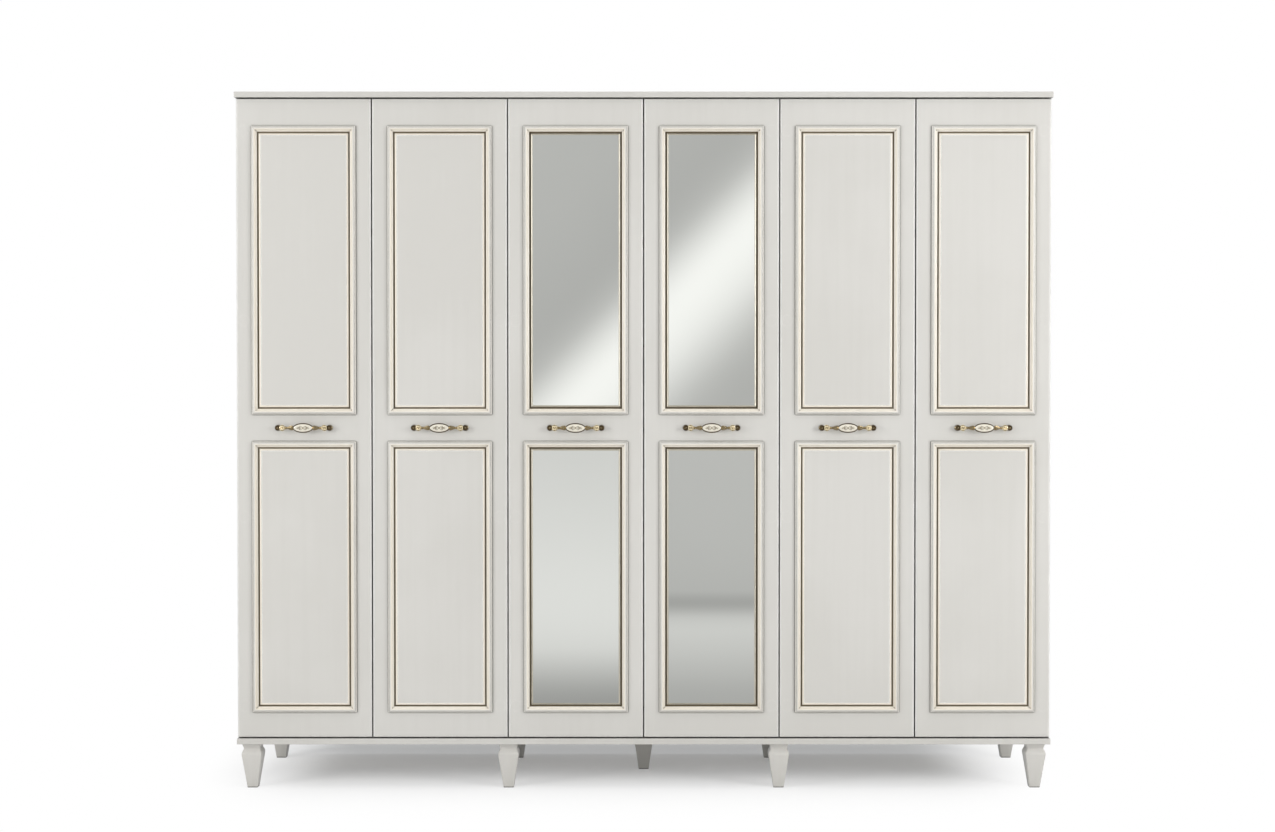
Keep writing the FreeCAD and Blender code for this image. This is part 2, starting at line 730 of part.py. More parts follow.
def cup_plate():
    """The cup's flange on the door's inner face, with wings for its screws."""
    low, high = CUP_PLATE_REACH
    half = CUP_PLATE_HALF_HEIGHT
    flange = box(low, high, BOARD, BOARD + CUP_PLATE_THICK, -half, half)
    disc = rod(CUP_PLATE_RADIUS, CUP_PLATE_THICK, (CUP_X + CUP_PLATE_SHIFT, BOARD, 0), (0, 1, 0))
    low, high = CUP_WINGS_REACH
    half = CUP_WINGS_HALF_HEIGHT
    wings = box(low, high, BOARD, BOARD + CUP_PLATE_THICK, -half, half)
    return flange.common(disc).fuse(wings)


def hinge_cup():
    """A round cup with a screw flange and the pin that the link turns on."""
    bottom = BOARD - CUP_DEPTH
    cup = rod(CUP_RADIUS, CUP_DEPTH, (CUP_X, bottom, 0), (0, 1, 0))
    inside = (CUP_X, bottom + CUP_FLOOR, 0)
    cavity = rod(CUP_RADIUS - CUP_WALL, CUP_DEPTH + CUP_PLATE_THICK, inside, (0, 1, 0))
    body = cup.fuse(cup_plate()).cut(cavity)
    foot = (DOOR_PIN[0], DOOR_PIN[1], -CUP_RADIUS)
    pin = rod(PIN_RADIUS, 2 * CUP_RADIUS, foot, (0, 0, 1)).common(cup)
    return body.fuse(pin).cut(cup_screws())


def door_cups(number):
    """Every cup of a door, with its screws."""
    parts = [hinge_cup()] + cup_screws()
    return [hung(part, number, z) for z in HINGE_HEIGHTS for part in parts]


def hinge_link():
    """A bowed link between the door's pin and the arm's pin."""
    near = Vector(DOOR_PIN[0], DOOR_PIN[1], 0)
    far = Vector(ARM_PIN[0], ARM_PIN[1], 0)
    along = (far - near).normalize()
    bulge = Vector(along.y, -along.x, 0)
    middle = (near + far) * 0.5 + bulge * LINK_SAG
    step = bulge * LINK_HALF_THICK
    edges = [
        Part.Arc(near + step, middle + step, far + step).toShape(),
        Part.makeLine(far + step, far - step),
        Part.Arc(far - step, middle - step, near - step).toShape(),
        Part.makeLine(near - step, near + step),
    ]
    height = 2 * LINK_HALF_HEIGHT
    strap = Part.Face(Part.Wire(edges)).extrude(Vector(0, 0, height))
    eyes = [Part.makeCylinder(EYE_RADIUS, height, spot) for spot in (near, far)]
    holes = [Part.makeCylinder(PIN_RADIUS + RUNNING_FIT, height, spot) for spot in (near, far)]
    link = strap.fuse(eyes).cut(holes)
    return moved(link, 0, 0, -LINK_HALF_HEIGHT)


def wall_of(number):
    """How far the upright that carries a door stands from the hinge edge."""
    if number in (1, DOOR_COUNT):
        return BOARD
    return (BOARD - DOOR_GAP) / 2


def hinge_arm(wall):
    """The fixed arm: a forked nose in the cup, cranked back to its plate."""
    x, y = ARM_PIN
    low = wall + PLATE_PAD_THICK
    high = low + ARM_WIDTH
    near_bend, far_bend, straight = ARM_CRANK
    nose = y - ARM_NOSE_BACK
    outline = [
        (x - ARM_HALF_WIDTH, nose), (x + ARM_HALF_WIDTH, nose),
        (x + ARM_HALF_WIDTH, far_bend), (high, straight), (high, ARM_END),
        (low, ARM_END), (low, straight), (x - ARM_HALF_WIDTH, near_bend),
    ]
    arm = prism([(u, v, -ARM_HALF_HEIGHT) for u, v in outline], (0, 0, 2 * ARM_HALF_HEIGHT))
    half = FORK_HALF_HEIGHT
    fork = box(x - FORK_HALF_WIDTH, x + FORK_HALF_WIDTH, 0.0, y + FORK_OVERLAP, -half, half)
    half = CHANNEL_HALF_HEIGHT
    channel = box(low, high - ARM_WALL, CHANNEL_START, ARM_END, -half, half)
    pin = rod(PIN_RADIUS, 2 * ARM_HALF_HEIGHT, (x, y, -ARM_HALF_HEIGHT), (0, 0, 1))
    return arm.cut([fork, channel]).fuse(pin)


def plate_screws(wall):
    """The two screws of a mounting plate."""
    screws = []
    length = PLATE_SCREW_DEPTH + PLATE_WING_THICK
    for offset in PLATE_SCREW_OFFSETS:
        tip = (wall - PLATE_SCREW_DEPTH, PLATE_DEPTH, offset)
        head = rod(*PLATE_SCREW_HEAD, (wall + PLATE_WING_THICK, PLATE_DEPTH, offset), (1, 0, 0))
        screws.append(rod(PLATE_SCREW_RADIUS, length, tip, (1, 0, 0)).fuse(head))
    return screws


def mounting_plate(wall):
    """A winged plate on the upright, with the rail that carries the arm."""
    wide, tall = PLATE_WING_HALF
    wings = box(wall, wall + PLATE_WING_THICK, PLATE_DEPTH - wide, PLATE_DEPTH + wide, -tall, tall)
    back, front = PLATE_PAD_REACH
    half = PLATE_PAD_HALF_HEIGHT
    pad = box(wall, wall + PLATE_PAD_THICK, PLATE_DEPTH + back, PLATE_DEPTH + front, -half, half)
    return wings.fuse(pad).cut(plate_screws(wall))


def all_hinges(make):
    """One hinge part, or a list of them, at every hinge of every door."""
    placed = []
    for number in range(1, DOOR_COUNT + 1):
        parts = make(wall_of(number))
        for z in HINGE_HEIGHTS:
            placed += [hung(part, number, z) for part in parts]
    return placed


# export ----------------------------------------------------------------------

def export(name, parts):
    """Write one STEP file of a node's solids."""
    solids = [solid for part in parts for solid in part.Solids]
    Part.makeCompound(solids).exportStep("parts/" + name + ".step")
    print(name, len(solids), "solids", all(solid.isValid() for solid in solids))


def build_carcass():
    """Boards, interior fittings, legs and the fixed hinge parts."""
    export("top_panel", [top_panel()])
    export("base_panel", [base_panel()])
    export("side_panel_left", [side_panel(-1)])
    export("side_panel_right", [side_panel(1)])
    export("divider_left", [divider(-1)])
    export("divider_right", [divider(1)])
    for name, bay in zip(("left", "middle", "right"), BAYS):
        export("back_panel_" + name, [back_panel(bay)])
    export("hat_shelves", [shelf(bay, HAT_SHELF_Z) for bay in (BAYS[0], BAYS[2])])
    export("middle_shelves", [shelf(BAYS[1], z) for z in MIDDLE_SHELVES_Z])
    export("shelf_pins", shelf_pins())
    export("hanging_rail_left", [hanging_rail(BAYS[0])])
    export("hanging_rail_right", [hanging_rail(BAYS[2])])
    export("rail_sockets", rail_sockets())
    leg = leg_shape()
    export("front_legs", [moved(leg, x, -LEG_Y, 0) for x in LEG_X])
    export("rear_legs", [moved(leg, x, LEG_Y, 0) for x in LEG_X])
    export("centre_leg", [moved(leg, 0, CENTRE_LEG_Y, 0)])
    export("leg_studs", [leg_bolt(x, y) for x, y in leg_places()])
    export("assembly_screws", assembly_screws())
    export("hinge_arms", all_hinges(lambda wall: [hinge_arm(wall)]))
    export("hinge_plates", all_hinges(lambda wall: [mounting_plate(wall)] + plate_screws(wall)))


def build_door(number):
    """Every node of one door."""
    name = "door_" + str(number)
    export(name + "_slab", [door_slab(number)])
    export(name + "_mouldings", door_sticks(number, moulding_section, MOULDING_WIDTH))
    reach = MOULDING_WIDTH + FILLET_WIDTH
    export(name + "_gilt_fillets", door_sticks(number, fillet_section, reach))
    export(name + "_handle", door_handle(number))
    export(name + "_hinge_cups", door_cups(number))
    export(name + "_hinge_links", [hung(hinge_link(), number, z) for z in HINGE_HEIGHTS])
    if number in MIRROR_DOORS:
        export(name + "_mirrors", door_mirrors(number))


os.makedirs("parts", exist_ok=True)
build_carcass()
for door in range(1, DOOR_COUNT + 1):
    build_door(door)
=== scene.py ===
import json
from math import cos, pi, radians, sin

import bmesh
import bpy
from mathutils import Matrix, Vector


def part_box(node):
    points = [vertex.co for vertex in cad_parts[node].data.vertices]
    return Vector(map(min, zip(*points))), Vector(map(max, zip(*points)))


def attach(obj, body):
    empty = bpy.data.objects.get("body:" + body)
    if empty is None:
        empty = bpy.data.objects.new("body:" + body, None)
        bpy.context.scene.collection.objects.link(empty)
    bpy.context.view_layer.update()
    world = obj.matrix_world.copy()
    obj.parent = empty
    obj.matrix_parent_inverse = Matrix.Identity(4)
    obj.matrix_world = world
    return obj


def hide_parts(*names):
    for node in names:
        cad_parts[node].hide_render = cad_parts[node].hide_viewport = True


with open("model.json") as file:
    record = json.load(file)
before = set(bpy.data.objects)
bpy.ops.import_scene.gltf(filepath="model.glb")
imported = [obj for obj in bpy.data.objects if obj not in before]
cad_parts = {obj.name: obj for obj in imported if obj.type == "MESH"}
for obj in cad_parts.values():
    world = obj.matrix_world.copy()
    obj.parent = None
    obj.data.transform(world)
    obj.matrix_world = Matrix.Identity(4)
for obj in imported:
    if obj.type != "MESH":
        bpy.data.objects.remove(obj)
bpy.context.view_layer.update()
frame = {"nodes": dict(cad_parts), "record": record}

MM = 0.001
DOORS = range(1, 7)
MIRROR_DOORS = (3, 4)
LEFT_HUNG = (1, 3, 5)


# measures read from the frame ------------------------------------------------

def opening(name):
    """The low and high corners of a space that the record states."""
    for entry in frame["record"]["physics"]["openings"]:
        if entry["name"] == name:
            low, high = entry["box_m"]
            return Vector(low), Vector(high)
    raise KeyError(name)


SLAB_LOW, SLAB_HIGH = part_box("door_1_slab")
DOOR_FACE = SLAB_LOW.y
DOOR_BACK = SLAB_HIGH.y
HANDLE_Z = sum(corner.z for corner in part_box("door_1_handle")) / 2
SCREW_SPACING = 160 * MM


def door_middle(number):
    """The x of the middle of a door."""
    low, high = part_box(f"door_{number}_slab")
    return (low.x + high.x) / 2


# node networks ---------------------------------------------------------------

class Network:
    """A node tree under construction."""

    def __init__(self, tree):
        self.tree = tree

    def give(self, socket, value):
        """Link an input to another node's output, or set its own value."""
        if isinstance(value, bpy.types.NodeSocket):
            self.tree.links.new(value, socket)
        else:
            socket.default_value = value

    def node(self, kind, links=(), **settings):
        """A node with its properties set and its inputs linked or given values."""
        node = self.tree.nodes.new("ShaderNode" + kind)
        for name, value in settings.items():
            setattr(node, name, value)
        for name, value in dict(links).items():
            self.give(node.inputs[name], value)
        return node


class Effect(Network):
    """A shader node group with named inputs and outputs."""

    def __init__(self, name):
        super().__init__(bpy.data.node_groups.new(name, "ShaderNodeTree"))
        self.entry = self.tree.nodes.new("NodeGroupInput")
        self.exit = self.tree.nodes.new("NodeGroupOutput")

    def takes(self, name, kind, default=None):
        """An input of the group."""
        interface = self.tree.interface
        socket = interface.new_socket(name, in_out="INPUT", socket_type="NodeSocket" + kind)
        if default is not None:
            socket.default_value = default
        return self.entry.outputs[name]

    def gives(self, name, kind, source):
        """An output of the group."""
        interface = self.tree.interface
        interface.new_socket(name, in_out="OUTPUT", socket_type="NodeSocket" + kind)
        self.tree.links.new(source, self.exit.inputs[name])


def maths(owner, operation, *inputs):
    """A Math node's result."""
    return owner.node("Math", dict(enumerate(inputs)), operation=operation).outputs[0]


def vectors(owner, operation, *inputs):
    """A Vector Math node's outputs."""
    return owner.node("VectorMath", dict(enumerate(inputs)), operation=operation).outputs


def ramp_between(owner, value, low, high, start=0.0, end=1.0):
    """A smooth step of a value between two limits."""
    limits = {"Value": value, "From Min": low, "From Max": high, "To Min": start, "To Max": end}
    return owner.node("MapRange", limits, interpolation_type="SMOOTHSTEP").outputs[0]


def share_between(owner, value, low, high):
    """A value's even share of the way between two limits."""
    limits = {"Value": value, "From Min": low, "From Max": high}
    return owner.node("MapRange", limits).outputs[0]


def blend(owner, factor, first, second):
    """A colour mix."""
    links = {"Factor": factor, 6: first, 7: second}
    return owner.node("Mix", links, data_type="RGBA").outputs[2]


def own_place(owner):
    """The piece's own coordinates."""
    return owner.node("TexCoord").outputs["Object"]


def noise(owner, place, scale, detail, roughness=0.5):
    """A cloudy texture's value."""
    links = {"Vector": place, "Scale": scale, "Detail": detail, "Roughness": roughness}
    return owner.node("TexNoise", links).outputs[0]


def stretched(owner, place, scale):
    """Coordinates scaled along each axis."""
    return owner.node("Mapping", {"Vector": place, "Scale": scale}).outputs[0]


# shared effects --------------------------------------------------------------

STREAK_SCALE = (46.0, 46.0, 1.5)
GRAIN_SCALE = (1.0, 0.12, 1.0)
SOFT_SAMPLES = 6


def lacquer_skin():
    """Sprayed lacquer: slow clouds of tone, faint roller streaks and orange peel."""
    effect = Effect("lacquer_skin")
    pigment = effect.takes("Pigment", "Color")
    shade = effect.takes("Shade", "Color")
    peel = effect.takes("Peel Scale", "Float", 420.0)
    place = own_place(effect)
    clouds = noise(effect, place, 1.7, 4.0)
    streaks = noise(effect, stretched(effect, place, STREAK_SCALE), 1.0, 3.0)
    specks = noise(effect, place, peel, 2.0)
    cloudy = ramp_between(effect, clouds, 0.38, 0.66)
    streaky = ramp_between(effect, streaks, 0.35, 0.75, 0.0, 0.35)
    tone = maths(effect, "ADD", cloudy, streaky)
    effect.gives("Color", "Color", blend(effect, tone, pigment, shade))
    effect.gives("Roughness", "Float", ramp_between(effect, streaks, 0.3, 0.8, 0.30, 0.42))
    effect.gives("Height", "Float", maths(effect, "ADD", specks, streaky))
    return effect.tree


def arris_wear_and_highlight():
    """Softened arrises and a patchy mask along them, which the lacquers paint lighter, partly as
    rubbed wear and partly as a painted highlight.
    """
    effect = Effect("arris_wear_and_highlight")
    radius = effect.takes("Radius", "Float", 0.0015)
    place = own_place(effect)
    eased = effect.node("Bevel", {"Radius": radius}, samples=SOFT_SAMPLES).outputs[0]
    facing = effect.node("NewGeometry").outputs["Normal"]
    turn = vectors(effect, "DOT_PRODUCT", eased, facing)["Value"]
    edge = ramp_between(effect, maths(effect, "SUBTRACT", 1.0, turn), 0.004, 0.09)
    rubbed = ramp_between(effect, noise(effect, place, 26.0, 5.0), 0.42, 0.62, 0.75, 1.0)
    effect.gives("Mask", "Float", maths(effect, "MULTIPLY", edge, rubbed))
    effect.gives("Normal", "Vector", eased)
    return effect.tree


def crevice_shade():
    """Painted shade in narrow gaps and inner corners, strongest where little of the surroundings is
    open.
    """
    effect = Effect("crevice_shade")
    reach = effect.takes("Reach", "Float", 0.006)
    closeness = effect.node("AmbientOcclusion", {"Distance": reach}, samples=SOFT_SAMPLES)
    openness = closeness.outputs["AO"]
    effect.gives("Mask", "Float", ramp_between(effect, openness, 0.93, 0.42))
    return effect.tree


def settled_dust():
    """A thin veil of dust on whatever faces up."""
    effect = Effect("settled_dust")
    amount = effect.takes("Amount", "Float", 0.3)
    coords = effect.node("TexCoord").outputs
    up = effect.node("SeparateXYZ", {0: coords["Normal"]}).outputs["Z"]
    flat = ramp_between(effect, up, 0.65, 0.98)
    patchy = ramp_between(effect, noise(effect, coords["Object"], 34.0, 6.0), 0.35, 0.7)
    veil = maths(effect, "MULTIPLY", flat, patchy)
    effect.gives("Mask", "Float", maths(effect, "MULTIPLY", veil, amount))
    return effect.tree


def old_patina():
    """Dark wax left in hollows and in small clouds over gilding."""
    effect = Effect("old_patina")
    scale = effect.takes("Scale", "Float", 160.0)
    place = own_place(effect)
    hollow = effect.node("NewGeometry").outputs["Pointiness"]
    deep = ramp_between(effect, hollow, 0.51, 0.42)
    raised = ramp_between(effect, hollow, 0.51, 0.58)
    cloud = noise(effect, place, scale, 6.0, 0.65)
    cloudy = ramp_between(effect, cloud, 0.48, 0.72, 0.0, 0.6)
    effect.gives("Mask", "Float", maths(effect, "MAXIMUM", deep, cloudy))
    effect.gives("Raised", "Float", raised)
    effect.gives("Height", "Float", cloud)
    return effect.tree


def plated_grain():
    """Fine tumbled grain of plated pressings."""
    effect = Effect("plated_grain")
    scale = effect.takes("Scale", "Float", 300.0)
    place = own_place(effect)
    grain = noise(effect, stretched(effect, place, GRAIN_SCALE), scale, 5.0)
    stain = noise(effect, place, 22.0, 3.0)
    effect.gives("Roughness", "Float", ramp_between(effect, grain, 0.3, 0.75, 0.16, 0.36))
    effect.gives("Stain", "Float", ramp_between(effect, stain, 0.4, 0.75))
    effect.gives("Height", "Float", grain)
    return effect.tree


LACQUER = lacquer_skin()
WEAR_AND_HIGHLIGHT = arris_wear_and_highlight()
CREVICE = crevice_shade()
DUST = settled_dust()
PATINA = old_patina()
GRAIN = plated_grain()


# finishes --------------------------------------------------------------------

DUST_TONE = (0.50, 0.47, 0.42, 1.0)
# the dark colour of the painted shade in gaps and inner corners, and the reach of its closeness
# test
PAINTED_SHADE = (0.06, 0.052, 0.042, 1.0)
PAINTED_SHADE_REACH = 0.0055
BROWN_WAX = (0.085, 0.058, 0.028, 1.0)
WARM_HOLLOW = (0.34, 0.25, 0.13, 1.0)
BARE_METAL = (0.86, 0.86, 0.85, 1.0)


class Finish(Network):
    """A material with a Principled shader and the effects that feed it."""

    def __init__(self, name, **shader):
        self.material = bpy.data.materials.new(name)
        self.material.use_nodes = True
        super().__init__(self.material.node_tree)
        self.shader = self.tree.nodes["Principled BSDF"]
        for socket, value in shader.items():
            self.shader.inputs[socket.replace("_", " ")].default_value = value

    def effect(self, group, **values):
        """The outputs of a shared effect, placed with its own values."""
        node = self.node("Group", node_tree=group)
        for name, value in values.items():
            self.give(node.inputs[name.replace("_", " ")], value)
        return node.outputs

    def feed(self, socket, source):
        """Link a value that varies over the surface to the shader."""
        self.tree.links.new(source, self.shader.inputs[socket])

    def bump(self, height, depth, strength=0.5, normal=None):
        """Fine relief, over a softened normal where one is given."""
        links = {"Height": height, "Distance": depth, "Strength": strength}
        if normal is not None:
            links["Normal"] = normal
        self.feed("Normal", self.node("Bump", links).outputs[0])


def sprayed(name, pigment, shade, worn_and_highlight, dust=0.25, ease=0.0012, gloss=0.3):
    """Satin lacquer: eased arrises painted lighter, partly rubbed wear and partly a painted
    highlight, a little dust, and painted shade in the gaps and inner corners.
    """
    finish = Finish(name, Specular_IOR_Level=0.45, Coat_Weight=gloss, Coat_Roughness=0.18)
    skin = finish.effect(LACQUER, Pigment=pigment, Shade=shade)
    wear = finish.effect(WEAR_AND_HIGHLIGHT, Radius=ease)
    dusty = finish.effect(DUST, Amount=dust)["Mask"]
    # arrises painted lighter: partly rubbed wear, partly a painted highlight
    rubbed = blend(finish, wear["Mask"], skin["Color"], worn_and_highlight)
    soiled = blend(finish, dusty, rubbed, DUST_TONE)
    # painted shade: gaps and inner corners are darkened by how closed in they are
    crevice = finish.effect(CREVICE, Reach=PAINTED_SHADE_REACH)["Mask"]
    finish.feed("Base Color", blend(finish, crevice, soiled, PAINTED_SHADE))
    finish.feed("Roughness", maths(finish, "ADD", skin["Roughness"], dusty))
    finish.bump(skin["Height"], 0.00006, 0.35, wear["Normal"])
    return finish.material


def gilded(name, low, high, rubbed, metal=0.5, polish=0.0, relief=0.3):
    """Antique gold, clouded with dark wax."""
    finish = Finish(name, Metallic=metal, Specular_IOR_Level=0.4)
    patina = finish.effect(PATINA, Scale=90.0)
    cloud = patina["Height"]
    dark = blend(finish, cloud, low, high)
    finish.feed("Base Color", blend(finish, patina["Raised"], dark, rubbed))
    rough = ramp_between(finish, cloud, 0.3, 0.7, 0.38 - polish, 0.58 - polish)
    finish.feed("Roughness", rough)
    finish.bump(cloud, 0.0002, relief)
    return finish.material


def aged_gold():
    """Cast handle metal: warm gold, brown wax in its hollows, bright where rubbed."""
    finish = Finish("aged_gold", Metallic=1.0)
    patina = finish.effect(PATINA, Scale=420.0)
    gold = blend(finish, patina["Raised"], (0.43, 0.32, 0.165, 1.0), (0.84, 0.72, 0.49, 1.0))
    finish.feed("Base Color", blend(finish, patina["Mask"], gold, BROWN_WAX))
    finish.feed("Roughness", ramp_between(finish, patina["Mask"], 0.0, 1.0, 0.24, 0.52))
    finish.bump(patina["Height"], 0.0002, 0.3)
    return finish.material


def dark_wax():
    """Nearly black patina on the handle's end dishes and round its medallion."""
    finish = Finish("dark_wax", Metallic=0.8)
    cloud = finish.effect(PATINA, Scale=520.0)["Height"]
    tone = blend(finish, cloud, (0.045, 0.032, 0.018, 1.0), (0.16, 0.11, 0.055, 1.0))
    finish.feed("Base Color", tone)
    finish.feed("Roughness", ramp_between(finish, cloud, 0.3, 0.7, 0.3, 0.55))
    finish.bump(cloud, 0.00025, 0.4)
    return finish.material


def enamelled(name, low, high):
    """Glossy enamel with a warm shadow in its hollows."""
    finish = Finish(name, Coat_Weight=0.6, Coat_Roughness=0.08)
    patina = finish.effect(PATINA, Scale=260.0)
    cream = blend(finish, patina["Height"], low, high)
    hollow = maths(finish, "MULTIPLY", patina["Mask"], 0.45)
    finish.feed("Base Color", blend(finish, hollow, cream, WARM_HOLLOW))
    finish.feed("Roughness", ramp_between(finish, patina["Height"], 0.3, 0.7, 0.18, 0.3))
    finish.bump(patina["Height"], 0.0001, 0.2)
    return finish.material


def silvered_mirror():
    """Float glass silvered behind, hardly off flat, with a faint film of handling."""
    finish = Finish("silvered_mirror", Metallic=1.0)
    place = own_place(finish)
    film = noise(finish, place, 3.0, 6.0)
    tone = blend(finish, film, (0.90, 0.915, 0.905, 1.0), (0.94, 0.95, 0.945, 1.0))
    finish.feed("Base Color", tone)
    finish.feed("Roughness", ramp_between(finish, film, 0.35, 0.75, 0.015, 0.05))
    finish.bump(noise(finish, place, 2.2, 1.0), 0.0004, 0.15)
    return finish.material


def plated(name, bright, dull, polish=0.0):
    """Plated metal with grain, stains and soft arrises."""
    finish = Finish(name, Metallic=1.0)
    grain = finish.effect(GRAIN, Scale=340.0)
    wear = finish.effect(WEAR_AND_HIGHLIGHT, Radius=0.0004)
    base = blend(finish, grain["Stain"], bright, dull)
    finish.feed("Base Color", blend(finish, wear["Mask"], base, BARE_METAL))
    finish.feed("Roughness", maths(finish, "SUBTRACT", grain["Roughness"], polish))
    finish.bump(grain["Height"], 0.00004, 0.2, wear["Normal"])
    return finish.material


def soft_plastic():
    """Milky bumper dots."""
    milk = {"Subsurface_Weight": 0.2, "Subsurface_Scale": 0.002, "Transmission_Weight": 0.25}
    finish = Finish("milky_plastic", **milk)
    haze = noise(finish, own_place(finish), 400.0, 3.0)
    tone = blend(finish, haze, (0.74, 0.74, 0.72, 1.0), (0.86, 0.86, 0.84, 1.0))
    finish.feed("Base Color", tone)
    finish.feed("Roughness", ramp_between(finish, haze, 0.3, 0.7, 0.35, 0.5))
    return finish.material


# The worn colours are partly wear and partly a painted highlight on the arrises; on the doors they
# are near white and wide, a painted highlight beside the gaps.
DOOR_LACQUER = sprayed(
    "door_lacquer", (0.70, 0.683, 0.645, 1.0), (0.665, 0.648, 0.608, 1.0),
    (1.0, 0.985, 0.955, 1.0), ease=0.010)
BODY_LACQUER = sprayed(
    "body_lacquer", (0.665, 0.648, 0.61, 1.0), (0.63, 0.612, 0.572, 1.0),
    (0.90, 0.885, 0.85, 1.0), ease=0.003)
LEG_LACQUER = sprayed(
    "leg_lacquer", (0.70, 0.68, 0.64, 1.0), (0.655, 0.635, 0.59, 1.0),
    (0.82, 0.80, 0.76, 1.0), ease=0.0016)
MOULDING_LACQUER = sprayed(
    "moulding_lacquer", (0.76, 0.735, 0.68, 1.0), (0.72, 0.69, 0.63, 1.0),
    (0.93, 0.91, 0.865, 1.0), dust=0.12, gloss=0.9)
BEAD_LACQUER = sprayed(
    "bead_lacquer", (0.93, 0.87, 0.765, 1.0), (0.885, 0.815, 0.70, 1.0),
    (0.98, 0.94, 0.85, 1.0), dust=0.05, ease=0.001, gloss=0.6)
BACK_FOIL = sprayed(
    "back_foil", (0.71, 0.70, 0.675, 1.0), (0.67, 0.66, 0.63, 1.0), (0.78, 0.77, 0.74, 1.0))
# The groove gilding is darker than the gold itself, partly wax and partly painted shade of the sunk
# groove; the mirror doors' bevel gilding is a lighter copy of it, painted as lit.
GILDING_WAX_AND_SHADE = gilded(
    "gilded_groove", (0.080, 0.060, 0.036, 1.0), (0.150, 0.118, 0.074, 1.0),
    (0.32, 0.265, 0.175, 1.0))
LIT_BEVEL_GOLD = gilded(
    "gilded_bevel", (0.50, 0.455, 0.345, 1.0), (0.64, 0.60, 0.49, 1.0),
    (0.80, 0.76, 0.66, 1.0), metal=0.85, polish=0.10, relief=0.05)
GOLD = aged_gold()
WAX = dark_wax()
ENAMEL = enamelled("ivory_enamel", (0.80, 0.74, 0.60, 1.0), (0.90, 0.86, 0.76, 1.0))
BUD_ENAMEL = enamelled("gilt_ivory", (0.78, 0.64, 0.37, 1.0), (0.90, 0.80, 0.57, 1.0))
MIRROR = silvered_mirror()
NICKEL = plated("nickel_plate", (0.66, 0.65, 0.63, 1.0), (0.50, 0.49, 0.47, 1.0))
ZINC = plated("zinc_screws", (0.60, 0.60, 0.58, 1.0), (0.42, 0.41, 0.38, 1.0))
CHROME = plated("rail_chrome", (0.82, 0.82, 0.83, 1.0), (0.72, 0.72, 0.73, 1.0), polish=0.12)
MILKY = soft_plastic()


def coat(node, material):
    """Give a CAD node one finish."""
    mesh = frame["nodes"][node].data
    mesh.materials.clear()
    mesh.materials.append(material)


# mesh building ---------------------------------------------------------------

def bridge(bm, rings, finish=0):
    """Quads between closed rings of equal length; the last ring is not joined to the first."""
    faces = []
    count = len(rings[0])
    for near, far in zip(rings, rings[1:]):
        for index in range(count):
            after = (index + 1) % count
            face = bm.faces.new((near[index], near[after], far[after], far[index]))
            face.material_index = finish
            faces.append(face)
    return faces


def cap(bm, ring, finish=0):
    """One face over a ring."""
    face = bm.faces.new(ring)
    face.material_index = finish
    return face


def arc(centre, radii, start, end, steps):
    """Points on an elliptical arc, angles in degrees."""
    points = []
    for step in range(steps + 1):
        angle = radians(start + (end - start) * step / steps)
        points.append((centre[0] + radii[0] * cos(angle), centre[1] + radii[1] * sin(angle)))
    return points


def scaled(points):
    """Profile points from millimetres."""
    return [(u * MM, v * MM) for u, v in points]


def piece(name, bm, materials, smooth=35.0):
    """A named object from a finished bmesh."""
    bmesh.ops.recalc_face_normals(bm, faces=bm.faces)
    mesh = bpy.data.meshes.new(name)
    bm.to_mesh(mesh)
    bm.free()
    for material in materials:
        mesh.materials.append(material)
    mesh.polygons.foreach_set("use_smooth", [True] * len(mesh.polygons))
    mesh.set_sharp_from_angle(angle=radians(smooth))
    return place(name, mesh)


def place(name, mesh, spot=(0.0, 0.0, 0.0)):
    """A copy of a mesh in the scene."""
    thing = bpy.data.objects.new(name, mesh)
    thing.location = spot
    bpy.context.scene.collection.objects.link(thing)
    return thing


def turned(bm, profile, centre, steps=40, finish=0):
    """A shape turned about a line along Y; profile points are (radius, y) from tip to tip."""
    rings = []
    for radius, along in profile:
        ring = []
        for step in range(steps):
            angle = 2 * pi * step / steps
            across = centre[0] + radius * cos(angle)
            up = centre[2] + radius * sin(angle)
            ring.append(bm.verts.new((across, centre[1] + along, up)))
        rings.append(ring)
    bridge(bm, rings, finish)
    cap(bm, rings[0], finish)
    cap(bm, rings[-1], finish)


# planted mouldings and gilded grooves -----------------------------------------

MOULDING_WIDTH = 16.5 * MM
GROOVE_WIDTH = 11.0 * MM
FIELD_INSET = 19.0 * MM
MITRE_GAP = 0.06 * MM
CREAM_START = 9.4
QUIRK_WIDTH = 6.6 * MM
BEYOND = 1.0
FRAME_SMOOTH = 28.0


def moulding_profile():
    """Round edge, quirk, low crown and an ogee that falls to the groove, as (inwards, outwards)."""
    points = [(0.0, 0.0), (0.0, 3.4)]
    points += arc((2.6, 3.4), (2.6, 4.2), 180, 90, 8)[1:]
    points += [(3.3, 7.6), (3.5, 7.1), (4.1, 7.1), (4.3, 7.8)]
    points += arc((8.7, 7.8), (4.4, 1.2), 180, 90, 8)[1:]
    points += [(CREAM_START, 9.0)]
    points += arc((CREAM_START, 6.0), (3.0, 3.0), 90, 10, 7)[1:]
    points += arc((18.2, 6.0), (5.4, 5.6), 184, 262, 8)[1:]
    points += [(18.1, 0.1), (16.5, 0.0)]
    return scaled(points)


def groove_profile():
    """A sunk flat that rises a little to the bead."""
    start = MOULDING_WIDTH / MM
    points = [(start, -6.0), (start, -4.4), (start + 0.4, -4.1), (start + 5.2, -4.1)]
    points += arc((start + 5.2, -2.6), (1.5, 1.5), 270, 322, 4)[1:]
    points += [(start + 7.6, -2.0), (start + 7.7, -6.0)]
    return scaled(points)


